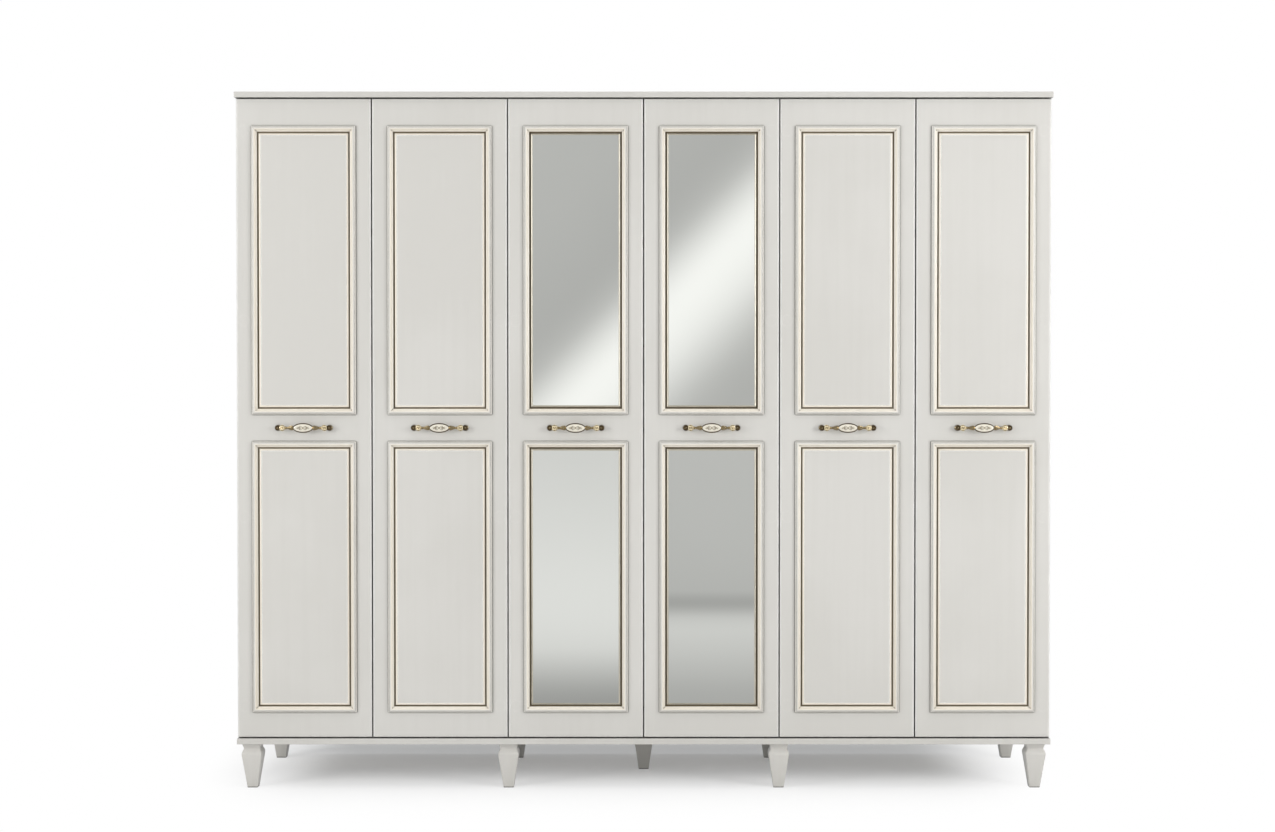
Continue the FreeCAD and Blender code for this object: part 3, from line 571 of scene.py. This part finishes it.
def mirror_groove_profile():
    """A narrow sunk quirk, then a gilded bevel that climbs to the mirror."""
    start = MOULDING_WIDTH / MM
    points = [(start, -6.0), (start, -4.4), (start + 0.4, -4.1)]
    points += [(start + 6.4, -4.1), (start + 6.8, -3.7)]
    points += arc((start + 11.2, -4.0), (4.4, 4.2), 176, 96, 8)[1:]
    points += [(start + 11.4, 0.25), (start + 12.6, 0.3), (start + 12.8, 0.0), (start + 11.0, 0.0)]
    points += [(start + 11.0, -6.0)]
    return scaled(points)


def bead_profile():
    """A cream bead that climbs from the groove and covers the panel's edge."""
    start = (MOULDING_WIDTH + GROOVE_WIDTH) / MM
    points = [(start - 4.4, -6.0), (start - 4.4, -2.3)]
    points += arc((start - 0.2, -2.3), (4.2, 2.9), 180, 90, 8)[1:]
    points += arc((start, -0.1), (1.6, 0.7), 90, 8, 5)[1:]
    points += [(start + 1.6, 0.0), (start, 0.0), (start, -6.0)]
    return scaled(points)


def frame_sticks(bm, profile, low, high):
    """Four sticks of a profile round a rectangle in the door's plane, mitred."""
    wide = high.x - low.x
    tall = high.z - low.z
    runs = (
        (Vector((low.x, 0, high.z)), Vector((1, 0, 0)), Vector((0, 0, -1)), wide),
        (Vector((low.x, 0, low.z)), Vector((1, 0, 0)), Vector((0, 0, 1)), wide),
        (Vector((low.x, 0, low.z)), Vector((0, 0, 1)), Vector((1, 0, 0)), tall),
        (Vector((high.x, 0, low.z)), Vector((0, 0, 1)), Vector((-1, 0, 0)), tall),
    )
    for corner, along, inward, length in runs:
        near = []
        far = []
        for inset, proud in profile:
            spot = corner + inward * inset + Vector((0, DOOR_FACE - proud, 0))
            near.append(bm.verts.new(spot + along * (inset + MITRE_GAP)))
            far.append(bm.verts.new(spot + along * (length - inset - MITRE_GAP)))
        bridge(bm, [near, far])
        cap(bm, near)
        cap(bm, far)


def door_frames(number):
    """The outer rectangles of a door's two moulding frames."""
    rectangles = []
    for level in ("lower", "upper"):
        low, high = opening(f"door_{number}_{level}_field")
        reach = Vector((FIELD_INSET, 0, FIELD_INSET))
        rectangles.append((low - reach, high + reach))
    return rectangles


def paint_inner_part(bm, low, high, start):
    """Give the second finish to the faces of a frame that lie further in than a distance."""
    for face in bm.faces:
        centre = face.calc_center_median()
        sides = (centre.x - low.x, high.x - centre.x, centre.z - low.z, high.z - centre.z)
        if min(map(abs, sides)) > start:
            face.material_index = 1


def frame_pair(number, name, profile, materials, second_start=BEYOND):
    """A door's two frames of one profile; a second finish may start some way in."""
    bm = bmesh.new()
    for low, high in door_frames(number):
        sticks = bmesh.new()
        frame_sticks(sticks, profile, low, high)
        paint_inner_part(sticks, low, high, second_start)
        mesh = bpy.data.meshes.new("sticks")
        sticks.to_mesh(mesh)
        sticks.free()
        bm.from_mesh(mesh)
        bpy.data.meshes.remove(mesh)
    return piece(f"door_{number}_{name}_fine", bm, materials, FRAME_SMOOTH)


def mould_door(number):
    """Mouldings, gilded grooves and, round plain panels, cream beads of one door."""
    body = f"door_{number}"
    cream = [MOULDING_LACQUER, BEAD_LACQUER]
    mouldings = frame_pair(number, "mouldings", moulding_profile(), cream, CREAM_START * MM)
    dress(mouldings, body, "cream_moulding", body + "_mouldings")
    if number in MIRROR_DOORS:
        # painted shade and light: dark gilding on the sunk flat, a lighter copy on the bevel
        gilt = [GILDING_WAX_AND_SHADE, LIT_BEVEL_GOLD]
        bevel_start = MOULDING_WIDTH + QUIRK_WIDTH
        profile = mirror_groove_profile()
        fillets = frame_pair(number, "gilt_fillets", profile, gilt, bevel_start)
    else:
        fillets = frame_pair(number, "gilt_fillets", groove_profile(), [GILDING_WAX_AND_SHADE])
        beads = frame_pair(number, "cream_beads", bead_profile(), [BEAD_LACQUER])
        dress(beads, body, "cream_moulding")
    dress(fillets, body, "antique_gilt", body + "_gilt_fillets")


def dress(thing, body, slot, *nodes):
    """Let a piece ride on a body and hide the nodes that it stands for; slot is not used."""
    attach(thing, body)
    if nodes:
        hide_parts(*nodes)


# handles ----------------------------------------------------------------------

ARM_START = 27.0
ARM_END = 75.0
END_X = 81.5
LEAF_START, LEAF_END = 31.5, 50.0
BUD_START, BUD_END = 55.5, 73.0
ENAMEL_START, ENAMEL_END = 56.5, 74.0
GOLD_SLOT, ENAMEL_SLOT, WAX_SLOT, THREAD_SLOT, BUD_SLOT = range(5)


def bow_line(x):
    """The y of the middle of the handle's bar, in mm in front of the door."""
    return -(14.5 + 8.0 * (1.0 - (x / 88.0) ** 2))


def arm_girth(x):
    """Half height and half depth of an arm, in mm, at a distance from the middle."""
    stations = (
        (27.0, 3.6, 2.6), (30.5, 5.2, 3.6), (33.0, 7.2, 4.4), (37.0, 6.9, 4.4), (42.0, 5.6, 4.0),
        (47.0, 4.2, 3.5), (51.0, 3.2, 3.0), (52.5, 4.5, 3.7), (54.0, 4.5, 3.7), (55.5, 3.8, 3.4),
        (57.5, 5.4, 4.2), (61.0, 7.4, 5.0), (66.0, 8.9, 5.3), (71.0, 8.4, 4.9), (75.0, 7.0, 4.3),
    )
    for near, far in zip(stations, stations[1:]):
        if near[0] <= x <= far[0]:
            share = (x - near[0]) / (far[0] - near[0])
            eased = share * share * (3 - 2 * share)
            return tuple(near[i] + (far[i] - near[i]) * eased for i in (1, 2))
    return stations[-1][1:]


def leaf_relief(x, angle):
    """How much carved leaves lift the arm's surface, as a share of its girth."""
    if LEAF_START < x < LEAF_END:
        reach = sin(pi * (x - LEAF_START) / (LEAF_END - LEAF_START))
        return 0.17 * reach * cos(8 * angle + 0.42 * (x - LEAF_START))
    if BUD_START < x < BUD_END:
        reach = sin(pi * (x - BUD_START) / (BUD_END - BUD_START))
        ripple = cos(1.1 * (x - BUD_START) + 3 * cos(angle))
        return 0.13 * reach * cos(6 * angle) + 0.05 * reach * ripple
    return 0.0


def handle_arm(bm, side):
    """One carved arm, from behind the medallion to the end round; its bud is enamelled."""
    around = 36
    steps = 96
    rings = []
    for step in range(steps + 1):
        x = ARM_START + (ARM_END - ARM_START) * step / steps
        tall, deep = arm_girth(x)
        ring = []
        for turn in range(around):
            angle = 2 * pi * turn / around
            lift = 1.0 + leaf_relief(x, angle)
            out = bow_line(x) - deep * lift * sin(angle)
            ring.append(bm.verts.new((side * x * MM, out * MM, tall * lift * cos(angle) * MM)))
        rings.append(ring)
    for step, pair in enumerate(zip(rings, rings[1:])):
        x = ARM_START + (ARM_END - ARM_START) * step / steps
        for turn, face in enumerate(bridge(bm, pair)):
            raised = leaf_relief(x, 2 * pi * (turn + 0.5) / around) > -0.01
            bud = ENAMEL_START < x < ENAMEL_END and raised
            face.material_index = BUD_SLOT if bud else GOLD_SLOT
    cap(bm, rings[0])
    cap(bm, rings[-1])


def handle_end(bm, side):
    """The end round: a dark rimmed dish with a gold stud, on a waisted post and a rose."""
    centre = (side * END_X * MM, 0.0, 0.0)
    post = [(4.2, -13.0), (4.6, -10.0), (5.6, -6.5), (6.0, -4.2), (7.0, -3.6)]
    post += arc((7.0, -1.9), (1.9, 1.7), -90, 60, 7) + [(7.9, 0.0)]
    turned(bm, scaled(post), centre)
    rim = [(5.0, -12.2), (7.6, -12.8)] + arc((7.7, -15.4), (1.1, 1.9), 60, -120, 9)
    rim += [(6.2, -16.2), (4.0, -15.7), (2.4, -15.6)]
    turned(bm, scaled(rim), centre, finish=WAX_SLOT)
    dish = [(6.9, -16.3), (6.6, -16.75), (5.2, -16.5), (3.2, -16.2), (2.2, -16.2)]
    turned(bm, scaled(dish), centre, finish=WAX_SLOT)
    stud = [(2.0, -15.6), (1.9, -17.0)] + arc((0.0, -17.0), (1.9, 1.1), 0, -84, 5)
    turned(bm, scaled(stud), centre, steps=20)


CARVED_SMOOTH = 50.0
MEDAL_LONG = 32.0
MEDAL_TALL = 15.3
MEDAL_BACK = -20.5


def medal_outline(angle, inset, scale):
    """A point of the medallion's pointed oval, set in and then scaled, in mm."""
    point = 1.0 + 0.02 * abs(cos(angle)) ** 10
    across = (MEDAL_LONG - inset) * scale * point * cos(angle)
    return across, (MEDAL_TALL - inset) * scale * sin(angle)


def medallion(bm):
    """A domed oval: gold back, dark rim and channel, cream enamel."""
    around = 72
    back = ((3.0, 1.0, 0.0), (1.0, 1.0, -0.5), (0.0, 1.0, -1.8))
    rim = (
        (0.0, 1.0, -3.2), (0.2, 1.0, -4.1), (0.6, 1.0, -4.4), (0.9, 1.0, -4.2), (1.2, 1.0, -3.4),
        (3.2, 1.0, -3.3),
    )
    dome = (
        (3.4, 1.0, -4.1), (4.0, 1.0, -4.75), (4.0, 0.88, -5.2), (4.0, 0.70, -5.75),
        (4.0, 0.48, -6.2), (4.0, 0.22, -6.5), (4.0, 0.06, -6.55),
    )
    slots = [GOLD_SLOT] * len(back) + [WAX_SLOT] * len(rim) + [ENAMEL_SLOT] * len(dome)
    rings = []
    for inset, scale, out in back + rim + dome:
        ring = []
        for turn in range(around):
            across, up = medal_outline(2 * pi * turn / around, inset, scale)
            ring.append(bm.verts.new((across * MM, (MEDAL_BACK + out) * MM, up * MM)))
        rings.append(ring)
    for near, far, slot in zip(rings, rings[1:], slots[1:]):
        bridge(bm, (near, far), slot)
    cap(bm, rings[0])
    cap(bm, rings[-1], ENAMEL_SLOT)


def medal_height(across, up):
    """The y of the enamel dome's face at a place on it, in mm."""
    spread = ((across / MEDAL_LONG) ** 2 + (up / MEDAL_TALL) ** 2) ** 0.5
    return MEDAL_BACK - 6.5 + 2.2 * spread ** 2


def relief_thread(bm, points, thick):
    """A thin raised thread of gilding that lies on the enamel dome."""
    around = 8
    rings = []
    for index, (across, up) in enumerate(points):
        before = points[max(index - 1, 0)]
        after = points[min(index + 1, len(points) - 1)]
        run = Vector((after[0] - before[0], after[1] - before[1])).normalized()
        share = index / (len(points) - 1)
        girth = thick * (0.35 + 0.65 * sin(pi * min(share * 1.15, 1.0)))
        ring = []
        for turn in range(around):
            angle = 2 * pi * turn / around
            side = girth * cos(angle)
            out = medal_height(across, up) - girth * 0.8 * sin(angle)
            spot = (across - run.y * side, out, up + run.x * side)
            ring.append(bm.verts.new([value * MM for value in spot]))
        rings.append(ring)
    bridge(bm, rings, THREAD_SLOT)
    cap(bm, rings[0], THREAD_SLOT)
    cap(bm, rings[-1], THREAD_SLOT)


def scroll_points(start, turns, size, flip):
    """A small spiral with a tail, as the ornament on the enamel."""
    points = []
    steps = 26
    for step in range(steps + 1):
        share = step / steps
        angle = turns * 2 * pi * share
        radius = size * (1.0 - 0.72 * share)
        across = start[0] + flip[0] * (size - radius * cos(angle))
        up = start[1] + flip[1] * radius * sin(angle)
        points.append((across, up))
    return points


def medal_ornament(bm):
    """Two pairs of scrolls, two sprigs and a small flower, all plain garden shapes."""
    for across in (-1, 1):
        for up in (-1, 1):
            scroll = scroll_points((across * 2.6, 0.8 * up), 1.15, 5.6, (across, up))
            relief_thread(bm, scroll, 0.95)
            leaf = []
            for step in range(6):
                leaf.append((across * (13.2 + 1.2 * step), up * (0.5 + 2.4 * sin(step * 0.52))))
            relief_thread(bm, leaf, 0.8)
        sprig = [(across * (11.0 + 1.35 * step), 0.9 * sin(step * 0.9)) for step in range(9)]
        relief_thread(bm, sprig, 0.8)
    petals = 6
    for petal in range(petals):
        angle = 2 * pi * petal / petals
        reaches = (0.5, 1.3, 2.1, 2.9, 3.4)
        petal_line = [(reach * cos(angle), reach * sin(angle)) for reach in reaches]
        relief_thread(bm, petal_line, 0.9)


def handle_mesh():
    """The whole handle about the middle of its footprint on the door."""
    bm = bmesh.new()
    for side in (-1, 1):
        handle_arm(bm, side)
        handle_end(bm, side)
    medallion(bm)
    medal_ornament(bm)
    materials = [GOLD, ENAMEL, WAX, GILDING_WAX_AND_SHADE, BUD_ENAMEL]
    return piece("door_1_handle_fine", bm, materials, CARVED_SMOOTH)


def cross_screw(bm, centre, radius, height, facing):
    """A pan head with a cross recess; facing is 1 when it looks towards +Y."""
    steps = 32
    arm = radius * 0.55
    rings = []
    levels = ((1.0, 0.0), (1.0, 0.45), (0.93, 0.75), (0.78, 0.95), (0.62, 1.0))
    for share, rise in levels:
        ring = []
        for step in range(steps):
            angle = 2 * pi * step / steps
            rim = radius * share
            spot = Vector((rim * cos(angle), facing * height * rise, rim * sin(angle)))
            ring.append(bm.verts.new(Vector(centre) + spot))
        rings.append(ring)
    bridge(bm, rings)
    cap(bm, rings[0])
    inner = []
    floor = []
    for step in range(steps):
        angle = 2 * pi * step / steps
        lobe = abs(cos(2 * angle)) ** 3
        reach = arm * (0.30 + 0.70 * lobe)
        rim = Vector((reach * cos(angle), facing * height, reach * sin(angle)))
        foot = reach * 0.6
        deep = Vector((foot * cos(angle), facing * height * 0.35, foot * sin(angle)))
        inner.append(bm.verts.new(Vector(centre) + rim))
        floor.append(bm.verts.new(Vector(centre) + deep))
    bridge(bm, [rings[-1], inner, floor])
    cap(bm, floor)


HEAD_RADIUS = 4.0 * MM
HEAD_HEIGHT = 2.2 * MM


def fit_handles():
    """A handle and its two screw heads on every door."""
    first = handle_mesh()
    heads = bmesh.new()
    for side in (-1, 1):
        centre = (side * SCREW_SPACING / 2, DOOR_BACK - DOOR_FACE, 0.0)
        cross_screw(heads, centre, HEAD_RADIUS, HEAD_HEIGHT, 1)
    screws = piece("door_1_handle_screws", heads, [ZINC], 40.0)
    for number in DOORS:
        spot = (door_middle(number), DOOR_FACE, HANDLE_Z)
        handle = first if number == 1 else place(f"door_{number}_handle_fine", first.data)
        pair = screws if number == 1 else place(f"door_{number}_handle_screws", screws.data)
        handle.location = spot
        pair.location = spot
        dress(handle, f"door_{number}", "antique_brass", f"door_{number}_handle")
        dress(pair, f"door_{number}", "zinc_fittings")


# legs --------------------------------------------------------------------------

LEG_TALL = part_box("front_legs")[1].z
LEG_CORNER = 2.6


def leg_girth():
    """Half widths of the square leg with their heights, from the foot up, in mm."""
    drops = (
        (31.7, 38.6), (32.0, 35.8), (31.95, 33.2), (31.6, 30.6), (30.8, 27.6), (29.4, 24.4),
        (27.6, 21.2), (26.4, 18.6), (26.0, 17.0), (26.1, 15.4), (26.6, 13.2), (28.8, 7.0),
        (31.0, 0.6),
    )
    points = [(15.2, 0.0), (16.2, 0.5), (16.6, 1.6)]
    points += [(half, LEG_TALL / MM - drop) for half, drop in drops]
    return points + [(31.0, LEG_TALL / MM)]


def rounded_square(half, corner, steps=5):
    """Plan points of a square with rounded corners."""
    points = []
    for quarter in range(4):
        start = 90 * quarter
        side_x = 1 if quarter in (0, 3) else -1
        side_y = 1 if quarter in (0, 1) else -1
        centre = (side_x * (half - corner), side_y * (half - corner))
        points += arc(centre, (corner, corner), start, start + 90, steps)
    return points


def leg_mesh():
    """One leg, standing on the origin."""
    bm = bmesh.new()
    rings = []
    for half, height in leg_girth():
        outline = rounded_square(half, LEG_CORNER)
        rings.append([bm.verts.new((x * MM, y * MM, height * MM)) for x, y in outline])
    bridge(bm, rings)
    cap(bm, rings[0])
    cap(bm, rings[-1])
    return piece("front_leg_1", bm, [LEG_LACQUER], 32.0)


def leg_spots():
    """Names, places and CAD nodes of the nine legs."""
    spots = []
    for row in ("front", "rear"):
        low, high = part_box(f"{row}_legs")
        half = (high.y - low.y) / 2
        middle = divider_x()
        depth = (low.y + high.y) / 2
        for index, x in enumerate((low.x + half, -middle, middle, high.x - half), 1):
            spots.append((f"{row}_leg_{index}", (x, depth, 0.0), f"{row}_legs"))
    low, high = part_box("centre_leg")
    centre = ((low.x + high.x) / 2, (low.y + high.y) / 2, 0.0)
    spots.append(("centre_leg_1", centre, "centre_leg"))
    return spots


def divider_x():
    """The x of the middle of the right divider."""
    low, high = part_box("divider_right")
    return (low.x + high.x) / 2


def fit_legs():
    """All nine legs."""
    first = leg_mesh()
    for name, spot, node in leg_spots():
        leg = first if name == first.name else place(name, first.data)
        leg.location = spot
        dress(leg, "carcass", "lacquered_wood", node)


# small fittings -------------------------------------------------------------------

BUMPER_INSET = 14 * MM


def bumper_mesh():
    """A low milky dome that stops a door from knocking."""
    bm = bmesh.new()
    profile = [(4.0, 0.0), (4.0, 0.5)] + arc((0.0, 0.4), (3.9, 1.4), 10, 86, 7)
    turned(bm, scaled(profile), (0.0, 0.0, 0.0), steps=32)
    return piece("door_1_bumper_1", bm, [MILKY], 40.0)


def fit_bumpers():
    """Two bumper dots near the free edge of every door."""
    first = bumper_mesh()
    for number in DOORS:
        low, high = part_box(f"door_{number}_slab")
        free_x = high.x - BUMPER_INSET if number in LEFT_HUNG else low.x + BUMPER_INSET
        for index, z in enumerate((low.z + BUMPER_INSET, high.z - BUMPER_INSET), 1):
            name = f"door_{number}_bumper_{index}"
            dot = first if name == first.name else place(name, first.data)
            dot.location = (free_x, DOOR_BACK, z)
            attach(dot, f"door_{number}")


def coat_cad_nodes():
    """Finishes of the CAD nodes that stay in sight."""
    finishes = {
        "top_panel": BODY_LACQUER, "base_panel": BODY_LACQUER,
        "side_panel_left": BODY_LACQUER, "side_panel_right": BODY_LACQUER,
        "divider_left": BODY_LACQUER, "divider_right": BODY_LACQUER,
        "back_panel_left": BACK_FOIL, "back_panel_middle": BACK_FOIL,
        "back_panel_right": BACK_FOIL,
        "hat_shelves": BODY_LACQUER, "middle_shelves": BODY_LACQUER, "shelf_pins": NICKEL,
        "hanging_rail_left": CHROME, "hanging_rail_right": CHROME, "rail_sockets": NICKEL,
        "leg_studs": ZINC, "assembly_screws": ZINC, "hinge_arms": NICKEL, "hinge_plates": NICKEL,
    }
    for number in DOORS:
        finishes[f"door_{number}_slab"] = DOOR_LACQUER
        finishes[f"door_{number}_hinge_cups"] = NICKEL
        finishes[f"door_{number}_hinge_links"] = NICKEL
    for number in MIRROR_DOORS:
        finishes[f"door_{number}_mirrors"] = MIRROR
    for node, material in finishes.items():
        coat(node, material)


# studio ----------------------------------------------------------------------------

CAMERA_SPOT = Vector((0.0, DOOR_FACE - 6.257, 1.292))
CAMERA_TILT = 0.985
LENS = 55.8
SENSOR = 36.0
SIDE_SHIFT = -0.0048

# name, place, target, size, power, seen in reflections
LIGHTS = (
    ("left_box", (-4.4, -3.3, 2.0), (-0.4, -0.3, 1.5), (2.0, 2.6), 100.0, True),
    ("right_box", (4.4, -3.3, 2.0), (0.6, -0.3, 1.35), (2.0, 2.6), 119.0, True),
    ("overhead", (0.0, -1.15, 5.6), (0.0, -1.15, 0.0), (6.5, 5.0), 146.0, False),
)
WHITE = (1.0, 1.0, 1.0, 1.0)
FILL_TONE = (0.96, 0.98, 1.0, 1.0)
FILL_POWER = 0.34

FLOOR_REACH = 30.0
FLOOR_TONE = (0.83, 0.83, 0.83, 1.0)
FRONT_PACE = (2.2, -1.0, 1.0)
REAR_PACE = (-2.0, 0.25, -1.0)
REAR_START = (0.0, -0.5, 0.0)
FOOTPRINT = (2.0, -0.25, 0.0)
BAND_Y = 0.2
BAND_HALF = 0.24
BAND_CORE = 0.02
PAINTED_FLOOR_LIGHT = (0.12, 0.12, 0.12, 1.0)
BAND_PAINTED_LIGHT = (0.185, 0.183, 0.18, 1.0)

CARD_AWAY = 4.79
CARD_HALF = 3
CARD_LOW = -2
CARD_HIGH = 4.5
CARD_GLOW = 1.1
CARD_BLUE = 0.965
CARD_BLUR = 0.05
LEVEL_BLUR = 0.03

# grey levels of the card: along the slanting beam, then up the left and the right half
BEAM = (
    (0.94, 0.42), (1.05, 0.45), (1.15, 0.56), (1.27, 0.80), (1.40, 0.92),
    (1.52, 0.88), (1.66, 0.41), (1.85, 0.42), (2.10, 0.45), (2.40, 0.46),
)
LEFT_LOW = ((0.28, 0.30), (0.36, 0.44), (0.45, 0.68), (0.60, 0.71), (0.80, 0.68), (1.08, 0.60))
RIGHT_LOW = (
    (0.28, 0.38), (0.36, 0.44), (0.48, 0.60), (0.545, 0.58), (0.588, 0.28), (0.63, 0.47),
    (1.08, 0.48),
)


def make_camera():
    """A nearly level, centred view of the doors."""
    data = bpy.data.cameras.new("camera")
    data.lens = LENS
    data.sensor_width = SENSOR
    data.shift_x = SIDE_SHIFT
    camera = bpy.data.objects.new("camera", data)
    camera.location = CAMERA_SPOT
    camera.rotation_euler = (radians(90.0 - CAMERA_TILT), 0.0, 0.0)
    bpy.context.scene.collection.objects.link(camera)
    bpy.context.scene.camera = camera


def soft_light(name, spot, target, size, power, reflected):
    """A large area light aimed at a point."""
    data = bpy.data.lights.new(name, "AREA")
    data.shape = "RECTANGLE"
    data.size, data.size_y = size
    data.energy = power
    light = bpy.data.objects.new(name, data)
    light.location = spot
    aim = Vector(target) - Vector(spot)
    light.rotation_euler = aim.to_track_quat("-Z", "Y").to_euler()
    light.visible_glossy = reflected
    bpy.context.scene.collection.objects.link(light)


def make_world():
    """White to the eye, and a softer white as fill light."""
    world = bpy.data.worlds.new("studio")
    world.use_nodes = True
    sky = Network(world.node_tree)
    sky.tree.nodes.clear()
    seen = sky.node("LightPath").outputs["Is Camera Ray"]
    white = sky.node("Background", {"Color": WHITE, "Strength": 1.0}).outputs[0]
    fill = sky.node("Background", {"Color": FILL_TONE, "Strength": FILL_POWER}).outputs[0]
    mix = sky.node("MixShader", {0: seen, 1: fill, 2: white}).outputs[0]
    out = sky.node("OutputWorld", {"Surface": mix})
    out.is_active_output = True
    bpy.context.scene.world = world


class Staging(Network):
    """The material of a stage piece, built from an empty tree."""

    def __init__(self, thing, name):
        material = bpy.data.materials.new(name)
        material.use_nodes = True
        thing.data.materials.append(material)
        super().__init__(material.node_tree)
        self.tree.nodes.clear()

    def glow(self, colour, strength=1.0):
        """A light-giving shader."""
        return self.node("Emission", {"Color": colour, "Strength": strength}).outputs[0]

    def show(self, surface):
        """Put a shader on the surface."""
        self.node("OutputMaterial", {"Surface": surface})


def past_footprint(owner, spot):
    """How far a place on the floor lies past the cabinet's stretched footprint."""
    front = vectors(owner, "MULTIPLY", spot, FRONT_PACE)[0]
    rear = vectors(owner, "MULTIPLY_ADD", spot, REAR_PACE, REAR_START)[0]
    sides = vectors(owner, "MAXIMUM", front, rear)[0]
    past = vectors(owner, "SUBTRACT", sides, FOOTPRINT)[0]
    outside = vectors(owner, "MAXIMUM", past, (0.0, 0.0, 0.0))[0]
    return vectors(owner, "LENGTH", outside)["Value"]


def make_floor():
    """A pale floor that runs out into white a little way from the footprint.

    To the eye it glows a little all over as painted light, and more in a band under the rear legs,
    a painted pool of light in the cabinet's shadow.
    """
    bm = bmesh.new()
    bmesh.ops.create_grid(bm, x_segments=8, y_segments=8, size=FLOOR_REACH)
    floor = piece("floor", bm, [])
    paint = Staging(floor, "pale_floor")
    spot = own_place(paint)
    fade = ramp_between(paint, past_footprint(paint, spot), 0.0, 1.0)
    matt = paint.node("BsdfDiffuse", {"Color": FLOOR_TONE}).outputs[0]
    depth = paint.node("SeparateXYZ", {0: spot}).outputs["Y"]
    apart = maths(paint, "ABSOLUTE", maths(paint, "SUBTRACT", depth, BAND_Y))
    deepest = ramp_between(paint, apart, BAND_HALF, BAND_CORE)
    # painted light: a glow seen only by the eye, stronger in a band under the rear legs
    lift = paint.glow(blend(paint, deepest, PAINTED_FLOOR_LIGHT, BAND_PAINTED_LIGHT))
    lifted = paint.node("AddShader", {0: matt, 1: lift}).outputs[0]
    seen = paint.node("LightPath").outputs["Is Camera Ray"]
    near = paint.node("MixShader", {0: seen, 1: matt, 2: lifted}).outputs[0]
    share = maths(paint, "MULTIPLY", fade, seen)
    mix = paint.node("MixShader", {0: share, 1: near, 2: paint.glow(WHITE)})
    paint.show(mix.outputs[0])
    floor.visible_glossy = False


def graded(owner, value, stops):
    """A smooth grey gradient; stops are (value, level)."""
    first = stops[0][0]
    last = stops[-1][0]
    ramp = owner.node("ValToRGB", {"Fac": share_between(owner, value, first, last)})
    ramp.color_ramp.interpolation = "B_SPLINE"
    elements = ramp.color_ramp.elements
    while len(elements) < len(stops):
        elements.new(0.5)
    for element, (reading, level) in zip(elements, stops):
        element.position = (reading - first) / (last - first)
        element.color = (level, level, level * CARD_BLUE, 1.0)
    return ramp.outputs[0]


def make_reflector():
    """A graded card seen only in reflections: a slanting beam above, a low horizon below.

    The card is drawn in the doors' own plane and enlarged from the camera's spot.
    """
    shrink = 1.0 / (1.0 + CARD_AWAY / (DOOR_FACE - CAMERA_SPOT.y))
    y = DOOR_FACE - CARD_AWAY
    corners = (
        (-CARD_HALF, y, CARD_LOW), (CARD_HALF, y, CARD_LOW),
        (CARD_HALF, y, CARD_HIGH), (-CARD_HALF, y, CARD_HIGH),
    )
    bm = bmesh.new()
    bm.faces.new([bm.verts.new(corner) for corner in corners])
    card = piece("studio_card", bm, [])
    paint = Staging(card, "graded_card")
    split = paint.node("SeparateXYZ", {0: own_place(paint)}).outputs
    across = maths(paint, "MULTIPLY", split["X"], shrink)
    base = CAMERA_SPOT.z * (1.0 - shrink)
    height = maths(paint, "MULTIPLY_ADD", split["Z"], shrink, base)
    beam = graded(paint, maths(paint, "SUBTRACT", height, across), BEAM)
    left = graded(paint, height, LEFT_LOW)
    right = graded(paint, height, RIGHT_LOW)
    low_mix = blend(paint, share_between(paint, across, -CARD_BLUR, CARD_BLUR), left, right)
    upper = share_between(paint, height, HANDLE_Z - LEVEL_BLUR, HANDLE_Z + LEVEL_BLUR)
    paint.show(paint.glow(blend(paint, upper, low_mix, beam), CARD_GLOW))
    card.visible_camera = False
    card.visible_diffuse = False
    card.visible_shadow = False
    card.visible_transmission = False


def make_studio():
    """Camera, world, floor, card and lights."""
    make_camera()
    make_world()
    make_floor()
    make_reflector()
    for light in LIGHTS:
        soft_light(*light)
    bpy.context.scene.view_settings.view_transform = "Standard"


coat_cad_nodes()
for door in DOORS:
    mould_door(door)
fit_handles()
fit_legs()
fit_bumpers()
make_studio()
